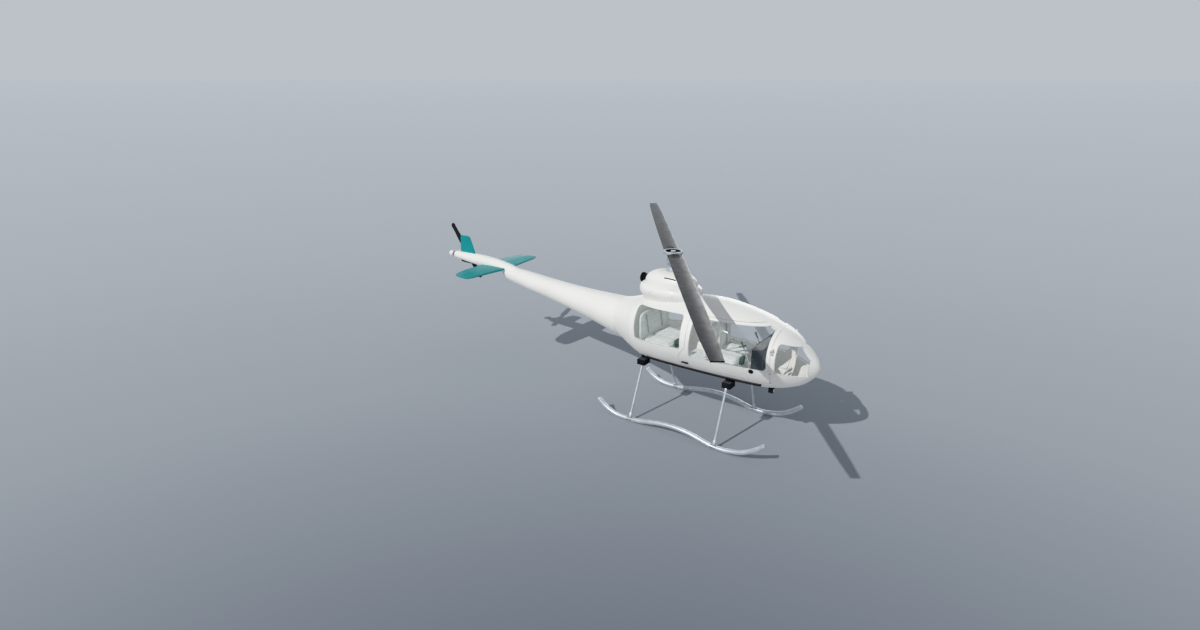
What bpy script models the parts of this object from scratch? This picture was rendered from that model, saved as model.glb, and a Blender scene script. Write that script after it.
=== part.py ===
"""A light single-engine helicopter on skids, two-bladed, with two cabin doors.

Metres, +Z up. The nose points along -Y and the starboard side is -X. The origin is on the
ground, at the middle of the whole machine with its rotors as they are parked.
"""

import math

import bmesh
import bpy
from mathutils import Matrix, Vector

TOUCH_GAP = 0.0003
DOOR_GAP = 0.006
WALL = 0.040

# Cabin pod, nose to tail: y, top, bottom, half width, height of the widest line
POD_ROWS = (
    (-4.742, 1.730, 1.655, 0.040, 1.693),
    (-4.716, 1.800, 1.583, 0.098, 1.700),
    (-4.640, 1.893, 1.478, 0.196, 1.718),
    (-4.506, 2.010, 1.350, 0.325, 1.760),
    (-4.310, 2.155, 1.247, 0.465, 1.810),
    (-4.119, 2.275, 1.180, 0.565, 1.850),
    (-3.830, 2.405, 1.118, 0.645, 1.895),
    (-3.400, 2.527, 1.088, 0.705, 1.905),
    (-2.764, 2.618, 1.086, 0.755, 1.880),
    (-1.989, 2.567, 1.084, 0.761, 1.850),
    (-1.550, 2.500, 1.082, 0.735, 1.845),
    (-1.293, 2.432, 1.098, 0.692, 1.845),
    (-1.050, 2.365, 1.165, 0.610, 1.860),
    (-0.828, 2.298, 1.270, 0.515, 1.865),
    (-0.690, 2.262, 1.352, 0.456, 1.845),
    (-0.584, 2.240, 1.404, 0.420, 1.822),
)
POD_SIDES = 28
POD_EXPONENT_TOP = 2.05
POD_EXPONENT_BOTTOM = 1.88
POD_STATIONS = 17
# Above 1, the stations crowd towards the round nose
POD_STATION_POWER = 1.7

# Panel joints of the pod, in side view
NOSE_JOINT_Y = -4.026
REAR_JOINT_Y = -1.050
POD_END_Y = -0.584
SILL_Z = 1.360
HEAD_Z = 2.420
ROOF_REAR_Z = 2.330
ROOF_STRIP_X = 0.150
SIDE_PANEL_INNER_X = 0.020
SIDE_PANEL_FRONT_Y = -2.700
ROOF_CORNER_Y = -2.446

# Reach of the cutting boxes, past the pod on every side
FAR = 3.000
POD_FRONT_FAR_Y = -5.200
OUTSIDE_X = 1.200

# Outlines in side view: y, z, corner radius
DOOR_OUTLINE = (
    (-4.020, 1.366, 0.060),
    (-4.020, 2.414, 0.030),
    (-2.440, 2.414, 0.060),
    (-2.430, 1.800, 0.080),
    (-2.270, 1.580, 0.080),
    (-2.270, 1.366, 0.060),
)
DOOR_SPACE_DROP = 0.100
DOOR_WINDOW = (
    (-3.975, 1.640, 0.110),
    (-3.958, 2.380, 0.030),
    (-2.520, 2.380, 0.070),
    (-2.491, 1.606, 0.060),
)
REAR_WINDOW = (
    (-2.324, 1.728, 0.060),
    (-2.308, 2.372, 0.070),
    (-1.201, 2.322, 0.070),
    (-1.260, 1.690, 0.060),
)
NOSE_WINDOW = (
    (-4.613, 1.562, 0.030),
    (-4.608, 1.876, 0.040),
    (-4.414, 2.078, 0.050),
    (-4.102, 2.170, 0.040),
    (-4.100, 1.622, 0.040),
)
DOOR_WINDOW_INNER_X = 0.190
NOSE_POST_X = 0.060
REAR_WINDOW_INNER_X = 0.100
GLASS_DEPTH = 0.010
GLASS_THICKNESS = 0.006
GLASS_EDGE_GAP = 0.0004

# Door hinges: a vertical pin just outside the skin at the door's front edge
HINGE_Y = -4.023
HINGE_X = 0.612
HINGE_HEIGHTS = (1.650, 2.050)
HINGE_PIN_RADIUS = 0.006
HINGE_BORE_RADIUS = 0.0064
HINGE_BARREL_RADIUS = 0.014
HINGE_BARREL_LENGTH = 0.050
HINGE_SIDES = 16
HINGE_STRAP_REACH = 0.085
HINGE_STRAP_Y = (0.007, 0.015)
HINGE_STRAP_INSET_Z = 0.008
HINGE_EAR_THICKNESS = 0.010
HINGE_EAR_GAP = 0.002
HINGE_EAR_RADIUS = 0.012
HINGE_EAR_Y = (-0.040, -0.0055)
HINGE_PIN_OVERRUN = 0.006

# Tail boom and tail tube: y, centre height, radius
BOOM_ROWS = (
    (-0.5837, 1.820, 0.418),
    (-0.250, 1.860, 0.376),
    (0.102, 1.901, 0.333),
    (0.868, 1.993, 0.262),
    (1.680, 2.090, 0.216),
    (2.109, 2.142, 0.198),
    (2.518, 2.191, 0.173),
    (2.740, 2.218, 0.130),
    (2.830, 2.229, 0.070),
)
BOOM_SIDES = 24
TAIL_TUBE_ROWS = (
    (2.250, 2.215, 0.110),
    (2.600, 2.285, 0.124),
    (3.112, 2.350, 0.134),
    (3.680, 2.376, 0.132),
    (4.180, 2.390, 0.106),
    (4.480, 2.397, 0.086),
    (4.560, 2.399, 0.070),
)
TAIL_TUBE_SIDES = 20
TAIL_KNOB = (4.602, 2.400, 0.066)
BOOM_WALL = 0.008
BOOM_HOLLOW_ROWS = 6
BOOM_HOLLOW_SHIFT = 0.020

# Engine cowl, a bulging band with a dome on it. Band: z, y at the rear, y at the front, half width
COWL_BAND_ROWS = (
    (2.280, -1.110, -2.225, 0.345),
    (2.440, -1.085, -2.250, 0.368),
    (2.520, -1.040, -2.295, 0.412),
    (2.600, -1.018, -2.316, 0.433),
    (2.670, -1.036, -2.298, 0.417),
    (2.712, -1.075, -2.260, 0.376),
    (2.7325, -1.120, -2.215, 0.330),
)
DOME_BASE_Z = 2.733
DOME_HEIGHT = 0.267
DOME_REAR_Y = -1.124
DOME_FRONT_Y = -2.211
DOME_HALF_WIDTH = 0.325
DOME_EXPONENT = 2.3
# Share of the dome's height at each of its rings
DOME_LEVELS = (0.0, 0.30, 0.55, 0.75, 0.90, 0.982)
COWL_SIDES = 24
COWL_EXPONENT = 2.4
COWL_WALL = 0.010

ENGINE_SIZE = (0.440, 0.680, 0.330)
ENGINE_CENTRE_Y = -1.668
ENGINE_TOP_Z = 2.780

EXHAUST_Z = 2.747
EXHAUST_RADIUS = 0.084
EXHAUST_LIP_RADIUS = 0.100
EXHAUST_LIP_LENGTH = 0.050
EXHAUST_FRONT_Y = -1.200
EXHAUST_REAR_Y = -1.000
EXHAUST_FLOOR = 0.020
EXHAUST_WALL = 0.008

# Main rotor: heights are measured from the blades' own level
MAST_Y = -1.685
ROTOR_Z = 3.347
ROTOR_HEADING = math.radians(35.77)
ROTOR_RADIUS = 5.265
MAST_RADIUS = 0.034
MAST_HOLE_RADIUS = 0.042
HUB_RADIUS = 0.185
HUB_INNER_RADIUS = 0.150
HUB_TOP = 0.040
HUB_FLOOR_TOP = -0.025
HUB_BOTTOM = -0.045
HUB_SIDES = 32
HUB_CAP_RADIUS = 0.050
HUB_BAR_RADIUS = 0.016
GRIP_SIZE = (0.060, 0.210, 0.040)
SWASHPLATE_RADII = (0.120, 0.100)
SWASHPLATE_TOP_Z = 3.084
MAST_DISC_Z = (3.092, 3.112)
MAST_DISC_RADIUS = 0.118
LINK_OFFSET = 0.104
LINK_RADIUS = 0.009
# Blade: distance from the mast, chord, thickness, shift of its middle towards the leading edge
BLADE_ROWS = (
    (HUB_RADIUS + TOUCH_GAP, 0.300, 0.040, 0.014),
    (1.500, 0.294, 0.038, 0.014),
    (2.500, 0.284, 0.035, 0.012),
    (3.300, 0.269, 0.032, 0.010),
    (4.200, 0.250, 0.028, 0.006),
    (4.600, 0.236, 0.025, 0.005),
    (4.900, 0.212, 0.022, 0.003),
    (5.150, 0.191, 0.019, 0.003),
    (ROTOR_RADIUS, 0.176, 0.016, 0.003),
)
# Section of a blade, fin or stabiliser: share of the chord, share of the half thickness
SECTION = (
    (0.50, 0.0),
    (0.46, 0.55),
    (0.34, 0.95),
    (0.16, 1.0),
    (-0.12, 0.80),
    (-0.36, 0.35),
    (-0.50, 0.06),
    (-0.50, -0.06),
    (-0.36, -0.35),
    (-0.12, -0.80),
    (0.16, -1.0),
    (0.34, -0.95),
    (0.46, -0.55),
)

# Tail rotor, on the port side. Blade: distance from the hub, chord
TAIL_ROTOR_CENTRE = Vector((0.2435, 4.338, 2.4585))
TAIL_ROTOR_TILT = math.radians(53.8)
TAIL_BLADE_ROWS = (
    (0.050, 0.080),
    (0.160, 0.136),
    (0.690, 0.136),
    (0.745, 0.116),
    (0.769, 0.070),
)
TAIL_BLADE_THICKNESS = 0.016
TAIL_HUB_RADIUS = 0.058
TAIL_HUB_HALF = 0.035
TAIL_GEARBOX_X = (0.030, 0.180)
TAIL_GEARBOX_HALF = 0.060
TAIL_SHAFT_START_X = 0.100
TAIL_SHAFT_RADIUS = 0.025

# Stabiliser: distance out, y of its leading edge, y of its trailing edge, thickness
STABILISER_Z = 2.315
STABILISER_ROWS = (
    (0.000, 2.690, 3.433, 0.046),
    (0.700, 2.775, 3.420, 0.038),
    (1.000, 2.808, 3.362, 0.030),
    (1.130, 2.836, 3.278, 0.022),
    (1.188, 2.895, 3.130, 0.012),
)
# Fins: z, y of the leading edge, y of the trailing edge, thickness
FIN_ROWS = (
    (2.390, 3.738, 4.286, 0.042),
    (2.512, 3.790, 4.282, 0.038),
    (2.830, 3.920, 4.268, 0.028),
    (2.884, 3.950, 4.248, 0.020),
    (2.908, 4.012, 4.202, 0.012),
)
VENTRAL_FIN_ROWS = (
    (2.222, 3.960, 4.235, 0.014),
    (2.246, 3.885, 4.290, 0.022),
    (2.320, 3.860, 4.305, 0.032),
)

# Skid gear
SKID_X = 0.930
SKID_RADIUS = 0.0455
SKID_LOW_Z = 0.046
SKID_STATIONS = 28
# Skid: y, centre height
SKID_ROWS = (
    (-4.205, 0.400),
    (-4.040, 0.266),
    (-3.850, 0.152),
    (-3.600, 0.074),
    (-3.400, SKID_LOW_Z),
    (-3.230, SKID_LOW_Z),
    (-2.880, 0.120),
    (-2.430, 0.182),
    (-1.950, 0.144),
    (-1.600, 0.074),
    (-1.350, SKID_LOW_Z),
    (-1.150, SKID_LOW_Z),
    (-0.950, 0.078),
    (-0.750, 0.165),
    (-0.574, 0.300),
)
# Struts and the blocks that carry them: name, y, distance out at the top
STRUTS = (
    ("front", -3.221, 0.535),
    ("rear", -1.352, 0.490),
)
STRUT_RADIUS = 0.023
STRUT_SIDES = 16
FOOT_RADIUS = 0.034
FOOT_LENGTH = 0.080
SADDLE_X = (0.345, 0.560)
SADDLE_Z = (1.100, 1.205)
SADDLE_LENGTH = 0.170
SADDLE_NECK_X = (0.350, 0.412)
SADDLE_NECK_Z = 1.262
SADDLE_NECK_LENGTH = 0.150
JACK_PAD_X = 0.390
JACK_PAD_RADIUS = 0.032
JACK_PAD_Z = 1.085

# Rail along each lower side of the tub: y, share of its full radius
BELLY_RAIL_Z = 1.283
BELLY_RAIL_RADIUS = 0.019
BELLY_RAIL_ROWS = (
    (-1.440, 1.0),
    (-1.800, 1.0),
    (-2.200, 1.0),
    (-2.700, 1.0),
    (-3.240, 1.0),
    (-3.260, 0.5),
    (-3.600, 0.5),
    (-3.830, 0.5),
)

# Cabin inside
FLOOR_Z = (1.275, 1.300)
FLOOR_Y = (-4.200, -1.200)
BULKHEAD_Y = (-1.160, -1.140)
SEAT_BASE_TOP_Z = 1.560
# Seats in side view: y, z
FRONT_SEAT_OUTLINE = (
    (-3.360, SEAT_BASE_TOP_Z + TOUCH_GAP),
    (-3.360, 1.640),
    (-3.320, 1.680),
    (-2.800, 1.680),
    (-2.790, 2.200),
    (-2.690, 2.200),
    (-2.680, SEAT_BASE_TOP_Z + TOUCH_GAP),
)
REAR_SEAT_OUTLINE = (
    (-1.980, SEAT_BASE_TOP_Z + TOUCH_GAP),
    (-1.980, 1.640),
    (-1.940, 1.680),
    (-1.360, 1.680),
    (-1.345, 2.160),
    (-1.250, 2.160),
    (-1.240, SEAT_BASE_TOP_Z + TOUCH_GAP),
)
CONSOLE_OUTLINE = (
    (-3.800, FLOOR_Z[1] + TOUCH_GAP),
    (-3.800, 1.900),
    (-3.885, 2.130),
    (-3.865, 2.185),
    (-3.500, 1.830),
    (-3.500, FLOOR_Z[1] + TOUCH_GAP),
)
FRONT_SEAT_X = (0.075, 0.545)
FRONT_SEAT_BASE_X = (0.120, 0.380)
FRONT_SEAT_BASE_Y = (-3.200, -2.750)
REAR_SEAT_HALF_WIDTH = 0.525
REAR_SEAT_BASE_HALF_WIDTH = 0.340
REAR_SEAT_BASE_Y = (-1.930, -1.300)
CONSOLE_HALF_WIDTH = 0.190

# Small items outside: low corner, high corner
NOSE_LAMP = ((-0.200, -3.990, 1.075), (-0.100, -3.900, 1.200))
NOSE_LAMP_BEVEL = 0.008
DOOR_HANDLE = ((0.600, -2.455, 1.435), (0.660, -2.320, 1.458))

# Colour, roughness, metallic
MATERIALS = {
    "body_white": ((0.80, 0.80, 0.77), 0.35, 0.0),
    "teal": ((0.012, 0.230, 0.240), 0.40, 0.0),
    "blade_grey": ((0.070, 0.072, 0.075), 0.50, 0.1),
    "black": ((0.010, 0.010, 0.012), 0.50, 0.0),
    "silver": ((0.50, 0.53, 0.56), 0.35, 0.7),
    "glass": ((0.62, 0.68, 0.67), 0.20, 0.0),
    "seat": ((0.62, 0.64, 0.62), 0.80, 0.0),
    "console": ((0.020, 0.026, 0.040), 0.55, 0.0),
    "floor_grey": ((0.33, 0.36, 0.36), 0.80, 0.0),
    "engine": ((0.20, 0.20, 0.20), 0.50, 0.5),
}


def clear_scene():
    for thing in list(bpy.data.objects):
        bpy.data.objects.remove(thing, do_unlink=True)


def new_collection(name):
    collection = bpy.data.collections.new(name)
    bpy.context.scene.collection.children.link(collection)
    return collection


def material(name):
    found = bpy.data.materials.get(name)
    if found:
        return found
    colour, roughness, metallic = MATERIALS[name]
    made = bpy.data.materials.new(name)
    made.use_nodes = True
    shader = made.node_tree.nodes["Principled BSDF"]
    shader.inputs["Base Color"].default_value = (*colour, 1.0)
    shader.inputs["Roughness"].default_value = roughness
    shader.inputs["Metallic"].default_value = metallic
    return made


def to_object(name, bm, finish=None, closed=True):
    """A part where a finish is named, and otherwise a cutter."""
    if closed:
        bmesh.ops.recalc_face_normals(bm, faces=bm.faces)
    mesh = bpy.data.meshes.new(name)
    bm.to_mesh(mesh)
    bm.free()
    thing = bpy.data.objects.new(name, mesh)
    if finish:
        mesh.materials.append(material(finish))
        PARTS.objects.link(thing)
    else:
        thing.hide_render = True
        thing.display_type = "WIRE"
        CUTTERS.objects.link(thing)
    return thing


def loft(rings, cap_start=True, cap_end=True):
    """Bridge equal rings of points into one skin, with flat caps where asked."""
    bm = bmesh.new()
    rows = [[bm.verts.new(point) for point in ring] for ring in rings]
    count = len(rows[0])
    for first, second in zip(rows, rows[1:]):
        for i in range(count):
            j = (i + 1) % count
            bm.faces.new((first[i], first[j], second[j], second[i]))
    bmesh.ops.triangulate(bm, faces=bm.faces)
    if cap_start:
        bm.faces.new(rows[0])
    if cap_end:
        bm.faces.new(rows[-1])
    return bm


def slopes(xs, values):
    """Slopes of a smooth curve through the rows that never overshoots them."""
    steps = [(b - a) / (xb - xa) for a, b, xa, xb in zip(values, values[1:], xs, xs[1:])]
    inner = []
    for before, after in zip(steps, steps[1:]):
        inner.append(0.0 if before * after <= 0 else 2 * before * after / (before + after))
    return [steps[0]] + inner + [steps[-1]]


def smooth(rows, column, at):
    """Read one column of a table at any place along its first column."""
    xs = [row[0] for row in rows]
    values = [row[column] for row in rows]
    if at <= xs[0]:
        return values[0]
    if at >= xs[-1]:
        return values[-1]
    i = max(k for k in range(len(xs) - 1) if xs[k] <= at)
    slope = slopes(xs, values)
    span = xs[i + 1] - xs[i]
    t = (at - xs[i]) / span
    a = 2 * t ** 3 - 3 * t ** 2 + 1
    b = t ** 3 - 2 * t ** 2 + t
    c = 3 * t ** 2 - 2 * t ** 3
    d = t ** 3 - t ** 2
    return a * values[i] + b * span * slope[i] + c * values[i + 1] + d * span * slope[i + 1]


def power(value, exponent):
    return math.copysign(abs(value) ** exponent, value)


def angles(count):
    return [2 * math.pi * (k + 0.5) / count for k in range(count)]


def pod_ring(y):
    top = smooth(POD_ROWS, 1, y)
    bottom = smooth(POD_ROWS, 2, y)
    half = smooth(POD_ROWS, 3, y)
    waist = smooth(POD_ROWS, 4, y)
    ring = []
    for angle in angles(POD_SIDES):
        up = math.sin(angle)
        exponent = POD_EXPONENT_TOP if up > 0 else POD_EXPONENT_BOTTOM
        x = half * power(math.cos(angle), 2 / exponent)
        height = top - waist if up > 0 else waist - bottom
        ring.append((x, y, waist + height * power(up, 2 / exponent)))
    return ring


def pod_half_width(y, z):
    """How far out the pod's side is at a height below its widest line."""
    bottom = smooth(POD_ROWS, 2, y)
    half = smooth(POD_ROWS, 3, y)
    waist = smooth(POD_ROWS, 4, y)
    drop = (waist - z) / (waist - bottom)
    return half * (1 - drop ** POD_EXPONENT_BOTTOM) ** (1 / POD_EXPONENT_BOTTOM)


def pod_stations():
    first = POD_ROWS[0][0]
    length = POD_END_Y - first
    return [first + length * (k / POD_STATIONS) ** POD_STATION_POWER
            for k in range(POD_STATIONS + 1)]


def pod_surface(inset=0.0):
    """The pod's skin, closed at the nose and open at the rear, facing out."""
    bm = loft([pod_ring(y) for y in pod_stations()], cap_end=False)
    bmesh.ops.recalc_face_normals(bm, faces=bm.faces)
    bm.normal_update()
    nose = min(bm.verts, key=lambda v: v.co.y)
    if nose.normal.y > 0:
        bmesh.ops.reverse_faces(bm, faces=bm.faces)
        bm.normal_update()
    moves = [(v, v.normal.copy()) for v in bm.verts]
    for v, normal in moves:
        v.co -= normal * inset
    return bm


def solidify(thing, thickness):
    modifier = thing.modifiers.new("wall", "SOLIDIFY")
    modifier.thickness = thickness
    modifier.offset = -1.0
    modifier.use_even_offset = True
    modifier.use_rim = True


def boolean(thing, cutter, operation="DIFFERENCE"):
    modifier = thing.modifiers.new(operation.lower(), "BOOLEAN")
    modifier.operation = operation
    modifier.solver = "EXACT"
    modifier.object = cutter


def apply_all(thing):
    """Replace the object's mesh by its evaluated one."""
    graph = bpy.context.evaluated_depsgraph_get()
    mesh = bpy.data.meshes.new_from_object(thing.evaluated_get(graph))
    thing.modifiers.clear()
    thing.data = mesh
    return thing


def skin(name, thickness, inset=0.0, finish=None):
    """A wall of the pod's shape, as a body of its own."""
    thing = to_object(name, pod_surface(inset), finish, closed=False)
    solidify(thing, thickness)
    return thing


def rounded(outline, grow=0.0, segments=3):
    """Corners with their radii, turned into points, all moved outward by grow."""
    points = [Vector(corner[:2]) for corner in outline]
    area = sum(a.x * b.y - b.x * a.y for a, b in zip(points, points[1:] + points[:1]))
    turn = 1.0 if area > 0 else -1.0
    result = []
    for i, corner in enumerate(outline):
        here = points[i]
        back = (points[i - 1] - here).normalized()
        ahead = (points[(i + 1) % len(points)] - here).normalized()
        half = math.acos(max(-1.0, min(1.0, back.dot(ahead)))) / 2
        bisector = (back + ahead).normalized()
        convex = (-back.x * ahead.y + back.y * ahead.x) * turn > 0
        radius = corner[2]
        centre = here + bisector * (radius / math.sin(half))
        start = here + back * (radius / math.tan(half))
        end = here + ahead * (radius / math.tan(half))
        first = math.atan2(start.y - centre.y, start.x - centre.x)
        last = math.atan2(end.y - centre.y, end.x - centre.x)
        sweep = (last - first + math.pi) % (2 * math.pi) - math.pi
        size = radius + grow if convex else radius - grow
        for k in range(segments + 1):
            angle = first + sweep * k / segments
            result.append((centre.x + size * math.cos(angle), centre.y + size * math.sin(angle)))
    return result


def prism(name, points, x_from, x_to, finish=None):
    """A side-view outline of y, z points pushed along X."""
    rings = [[(x, y, z) for y, z in points] for x in (x_from, x_to)]
    return to_object(name, loft(rings), finish)


def box(name, low, high, finish=None, bevel=0.0):
    bm = bmesh.new()
    bmesh.ops.create_cube(bm, size=1.0)
    size = Vector(high) - Vector(low)
    middle = (Vector(high) + Vector(low)) / 2
    bmesh.ops.scale(bm, vec=size, verts=bm.verts)
    bmesh.ops.translate(bm, vec=middle, verts=bm.verts)
    thing = to_object(name, bm, finish)
    if bevel:
        modifier = thing.modifiers.new("edges", "BEVEL")
        modifier.width = bevel
        modifier.segments = 2
    return thing


def side_box(name, side, x_range, y_range, z_range, finish=None):
    """A box on one side of the machine, its x range given for the port side."""
    xs = sorted(side * x for x in x_range)
    return box(name, (xs[0], y_range[0], z_range[0]), (xs[1], y_range[1], z_range[1]), finish)


def cylinder(name, start, end, radius, sides=24, finish=None, end_radius=None):
    bm = bmesh.new()
    axis = Vector(end) - Vector(start)
    bmesh.ops.create_cone(bm, cap_ends=True, segments=sides, radius1=radius,
                          radius2=radius if end_radius is None else end_radius,
                          depth=axis.length)
    turn = axis.to_track_quat("Z", "Y").to_matrix().to_4x4()
    middle = (Vector(start) + Vector(end)) / 2
    bmesh.ops.transform(bm, matrix=Matrix.Translation(middle) @ turn, verts=bm.verts)
    return to_object(name, bm, finish)


def upright(name, low, high, radius, sides=24, finish=None, x=0.0, y=0.0):
    return cylinder(name, (x, y, low), (x, y, high), radius, sides, finish)


def join(thing, pieces):
    """Unite pieces into the object and remove them."""
    for piece in pieces:
        boolean(thing, piece, "UNION")
    apply_all(thing)
    for piece in pieces:
        bpy.data.objects.remove(piece, do_unlink=True)
    return thing


def cut(thing, cutter):
    """Cut at once, and remove the cutter."""
    boolean(thing, cutter)
    apply_all(thing)
    bpy.data.objects.remove(cutter, do_unlink=True)


def hang(names, pivot_name, location):
    """Parent pieces to an empty on their joint's axis, leaving them where they are."""
    pivot = bpy.data.objects.new(pivot_name, None)
    pivot.location = location
    PARTS.objects.link(pivot)
    for name in names:
        piece = bpy.data.objects[name]
        piece.parent = pivot
        piece.matrix_parent_inverse = Matrix.Translation(location).inverted()


def side_name(base, side):
    return f"{base}_{'left' if side > 0 else 'right'}"


def side_prism(name, outline, side, inner_x, grow=0.0):
    return prism(name, rounded(outline, grow), side * inner_x, side * OUTSIDE_X)


def door_space():
    """The door's outline, carried on below the sill, for the panels that stand over it."""
    return tuple((y, z - DOOR_SPACE_DROP if z < SILL_Z + DOOR_SPACE_DROP else z, radius)
                 for y, z, radius in DOOR_OUTLINE)


def side_panel_outline(grow=0.0):
    """Side view of the fixed panel behind the door, between sill and roof."""
    half_gap = TOUCH_GAP / 2
    low = SILL_Z + half_gap - grow
    high = HEAD_Z - half_gap + grow
    rear = REAR_JOINT_Y - half_gap + grow
    return [(SIDE_PANEL_FRONT_Y, low), (SIDE_PANEL_FRONT_Y, high), (ROOF_CORNER_Y, high),
            (rear, ROOF_REAR_Z + grow), (rear, low)]


def pod_panels():
    """Nose, tub, roof, two rear sides and the tail fairing of the cabin pod."""
    half_gap = TOUCH_GAP / 2
    nose = skin("nose_shell", WALL, finish="body_white")
    boolean(nose, box("nose_region", (-FAR, POD_FRONT_FAR_Y, 0),
                      (FAR, NOSE_JOINT_Y - half_gap, FAR)), "INTERSECT")
    tub = skin("cabin_tub", WALL, finish="body_white")
    boolean(tub, box("tub_region", (-FAR, NOSE_JOINT_Y + half_gap, 0),
                     (FAR, REAR_JOINT_Y - half_gap, SILL_Z - half_gap)), "INTERSECT")
    roof = skin("cabin_roof", WALL, finish="body_white")
    boolean(roof, box("roof_region", (-FAR, NOSE_JOINT_Y + half_gap, SILL_Z + half_gap),
                      (FAR, REAR_JOINT_Y - half_gap, FAR)), "INTERSECT")
    fairing = skin("rear_fairing", WALL, finish="body_white")
    boolean(fairing, box("fairing_region", (-FAR, REAR_JOINT_Y + half_gap, 0), (FAR, 0.0, FAR)),
            "INTERSECT")
    for side in (1, -1):
        boolean(nose, side_prism(side_name("nose_window_cut", side), NOSE_WINDOW, side,
                                 NOSE_POST_X))
        boolean(roof, side_prism(side_name("door_space", side), door_space(), side,
                                 ROOF_STRIP_X - DOOR_GAP, DOOR_GAP))
        region = prism(side_name("side_region", side), side_panel_outline(),
                       side * SIDE_PANEL_INNER_X, side * OUTSIDE_X)
        grown = prism(side_name("side_region_grown", side), side_panel_outline(TOUCH_GAP),
                      side * (SIDE_PANEL_INNER_X - TOUCH_GAP), side * OUTSIDE_X)
        boolean(roof, grown)
        panel = skin(side_name("side_panel", side), WALL, finish="body_white")
        boolean(panel, region, "INTERSECT")
        boolean(panel, side_prism(side_name("door_rebate", side), door_space(), side, 0.0,
                                  DOOR_GAP))
        boolean(panel, side_prism(side_name("rear_window_cut", side), REAR_WINDOW, side,
                                  REAR_WINDOW_INNER_X))
    return nose


def panes():
    """Window panes sit inside their frames, part of the way through the wall."""
    table = (
        ("door_glass", DOOR_WINDOW, DOOR_WINDOW_INNER_X),
        ("rear_glass", REAR_WINDOW, REAR_WINDOW_INNER_X),
        ("nose_glass", NOSE_WINDOW, NOSE_POST_X),
    )
    for name, outline, inner_x in table:
        for side in (1, -1):
            pane = skin(side_name(name, side), GLASS_THICKNESS, GLASS_DEPTH, "glass")
            boolean(pane, side_prism(side_name(name + "_region", side), outline, side,
                                     inner_x + GLASS_EDGE_GAP, -GLASS_EDGE_GAP), "INTERSECT")


def hinge_pieces(side, height):
    """One hinge: a barrel with its strap on the door, two ears and a pin on the frame."""
    x = side * HINGE_X
    reach = (HINGE_X - HINGE_STRAP_REACH, HINGE_X)
    low = height - HINGE_BARREL_LENGTH / 2
    high = height + HINGE_BARREL_LENGTH / 2
    barrel = upright("barrel", low, high, HINGE_BARREL_RADIUS, HINGE_SIDES, x=x, y=HINGE_Y)
    strap = side_box("strap", side, reach, [HINGE_Y + y for y in HINGE_STRAP_Y],
                     (low + HINGE_STRAP_INSET_Z, high - HINGE_STRAP_INSET_Z))
    bore = upright("bore", low - HINGE_EAR_THICKNESS, high + HINGE_EAR_THICKNESS,
                   HINGE_BORE_RADIUS, HINGE_SIDES, x=x, y=HINGE_Y)
    ears = []
    for sign, level in ((-1, low), (1, high)):
        near = level + sign * HINGE_EAR_GAP
        levels = sorted((near, near + sign * HINGE_EAR_THICKNESS))
        ears.append(side_box("ear", side, (reach[0], HINGE_X + HINGE_EAR_RADIUS),
                             [HINGE_Y + y for y in HINGE_EAR_Y], levels))
        ears.append(upright("ear_end", *levels, HINGE_EAR_RADIUS, HINGE_SIDES, x=x, y=HINGE_Y))
    overrun = HINGE_EAR_GAP + HINGE_PIN_OVERRUN
    pin = upright("pin", low - overrun, high + overrun, HINGE_PIN_RADIUS, HINGE_SIDES,
                  x=x, y=HINGE_Y)
    return [barrel, strap], bore, ears + [pin]


def doors(nose):
    """Each door swings on two pins that stand on the nose shell's rear edge."""
    apply_all(nose)
    for side in (1, -1):
        door = skin(side_name("door", side), WALL, finish="body_white")
        boolean(door, side_prism(side_name("door_region", side), DOOR_OUTLINE, side,
                                 ROOF_STRIP_X), "INTERSECT")
        boolean(door, side_prism(side_name("door_window_cut", side), DOOR_WINDOW, side,
                                 DOOR_WINDOW_INNER_X))
        apply_all(door)
        for height in HINGE_HEIGHTS:
            door_half, bore, frame_half = hinge_pieces(side, height)
            join(door, door_half)
            cut(door, bore)
            join(nose, frame_half)


def tube_surface(rows, sides, grow=0.0):
    """A round skin along Y through rows of y, centre height, radius."""
    rings = []
    for y, z, radius in rows:
        size = radius + grow
        rings.append([(size * math.cos(a), y, z + size * math.sin(a)) for a in angles(sides)])
    return loft(rings)


def tail_boom():
    boom = to_object("tail_boom", tube_surface(BOOM_ROWS, BOOM_SIDES), "body_white")
    tube = to_object("tube", tube_surface(TAIL_TUBE_ROWS, TAIL_TUBE_SIDES))
    bm = bmesh.new()
    knob_y, knob_z, knob_radius = TAIL_KNOB
    bmesh.ops.create_uvsphere(bm, u_segments=16, v_segments=10, radius=knob_radius)
    bmesh.ops.translate(bm, vec=(0, knob_y, knob_z), verts=bm.verts)
    join(boom, [tube, to_object("knob", bm)])
    hollow_rows = [(y - BOOM_HOLLOW_SHIFT, z, r) for y, z, r in BOOM_ROWS[:BOOM_HOLLOW_ROWS]]
    hollow = to_object("boom_hollow", tube_surface(hollow_rows, BOOM_SIDES, -BOOM_WALL))
    boolean(boom, hollow)


def cowl_ring(z, rear, front, half):
    middle = (rear + front) / 2
    length = (rear - front) / 2
    return [(half * power(math.cos(a), 2 / COWL_EXPONENT),
             middle + length * power(math.sin(a), 2 / COWL_EXPONENT), z)
            for a in angles(COWL_SIDES)]


def dome_rows():
    """The dome's rings, on a curve that is a little fuller than an ellipse."""
    middle = (DOME_REAR_Y + DOME_FRONT_Y) / 2
    length = (DOME_REAR_Y - DOME_FRONT_Y) / 2
    rows = []
    for level in DOME_LEVELS:
        share = (1 - level ** DOME_EXPONENT) ** (1 / DOME_EXPONENT)
        rows.append((DOME_BASE_Z + DOME_HEIGHT * level, middle + length * share,
                     middle - length * share, DOME_HALF_WIDTH * share))
    return rows


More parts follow.
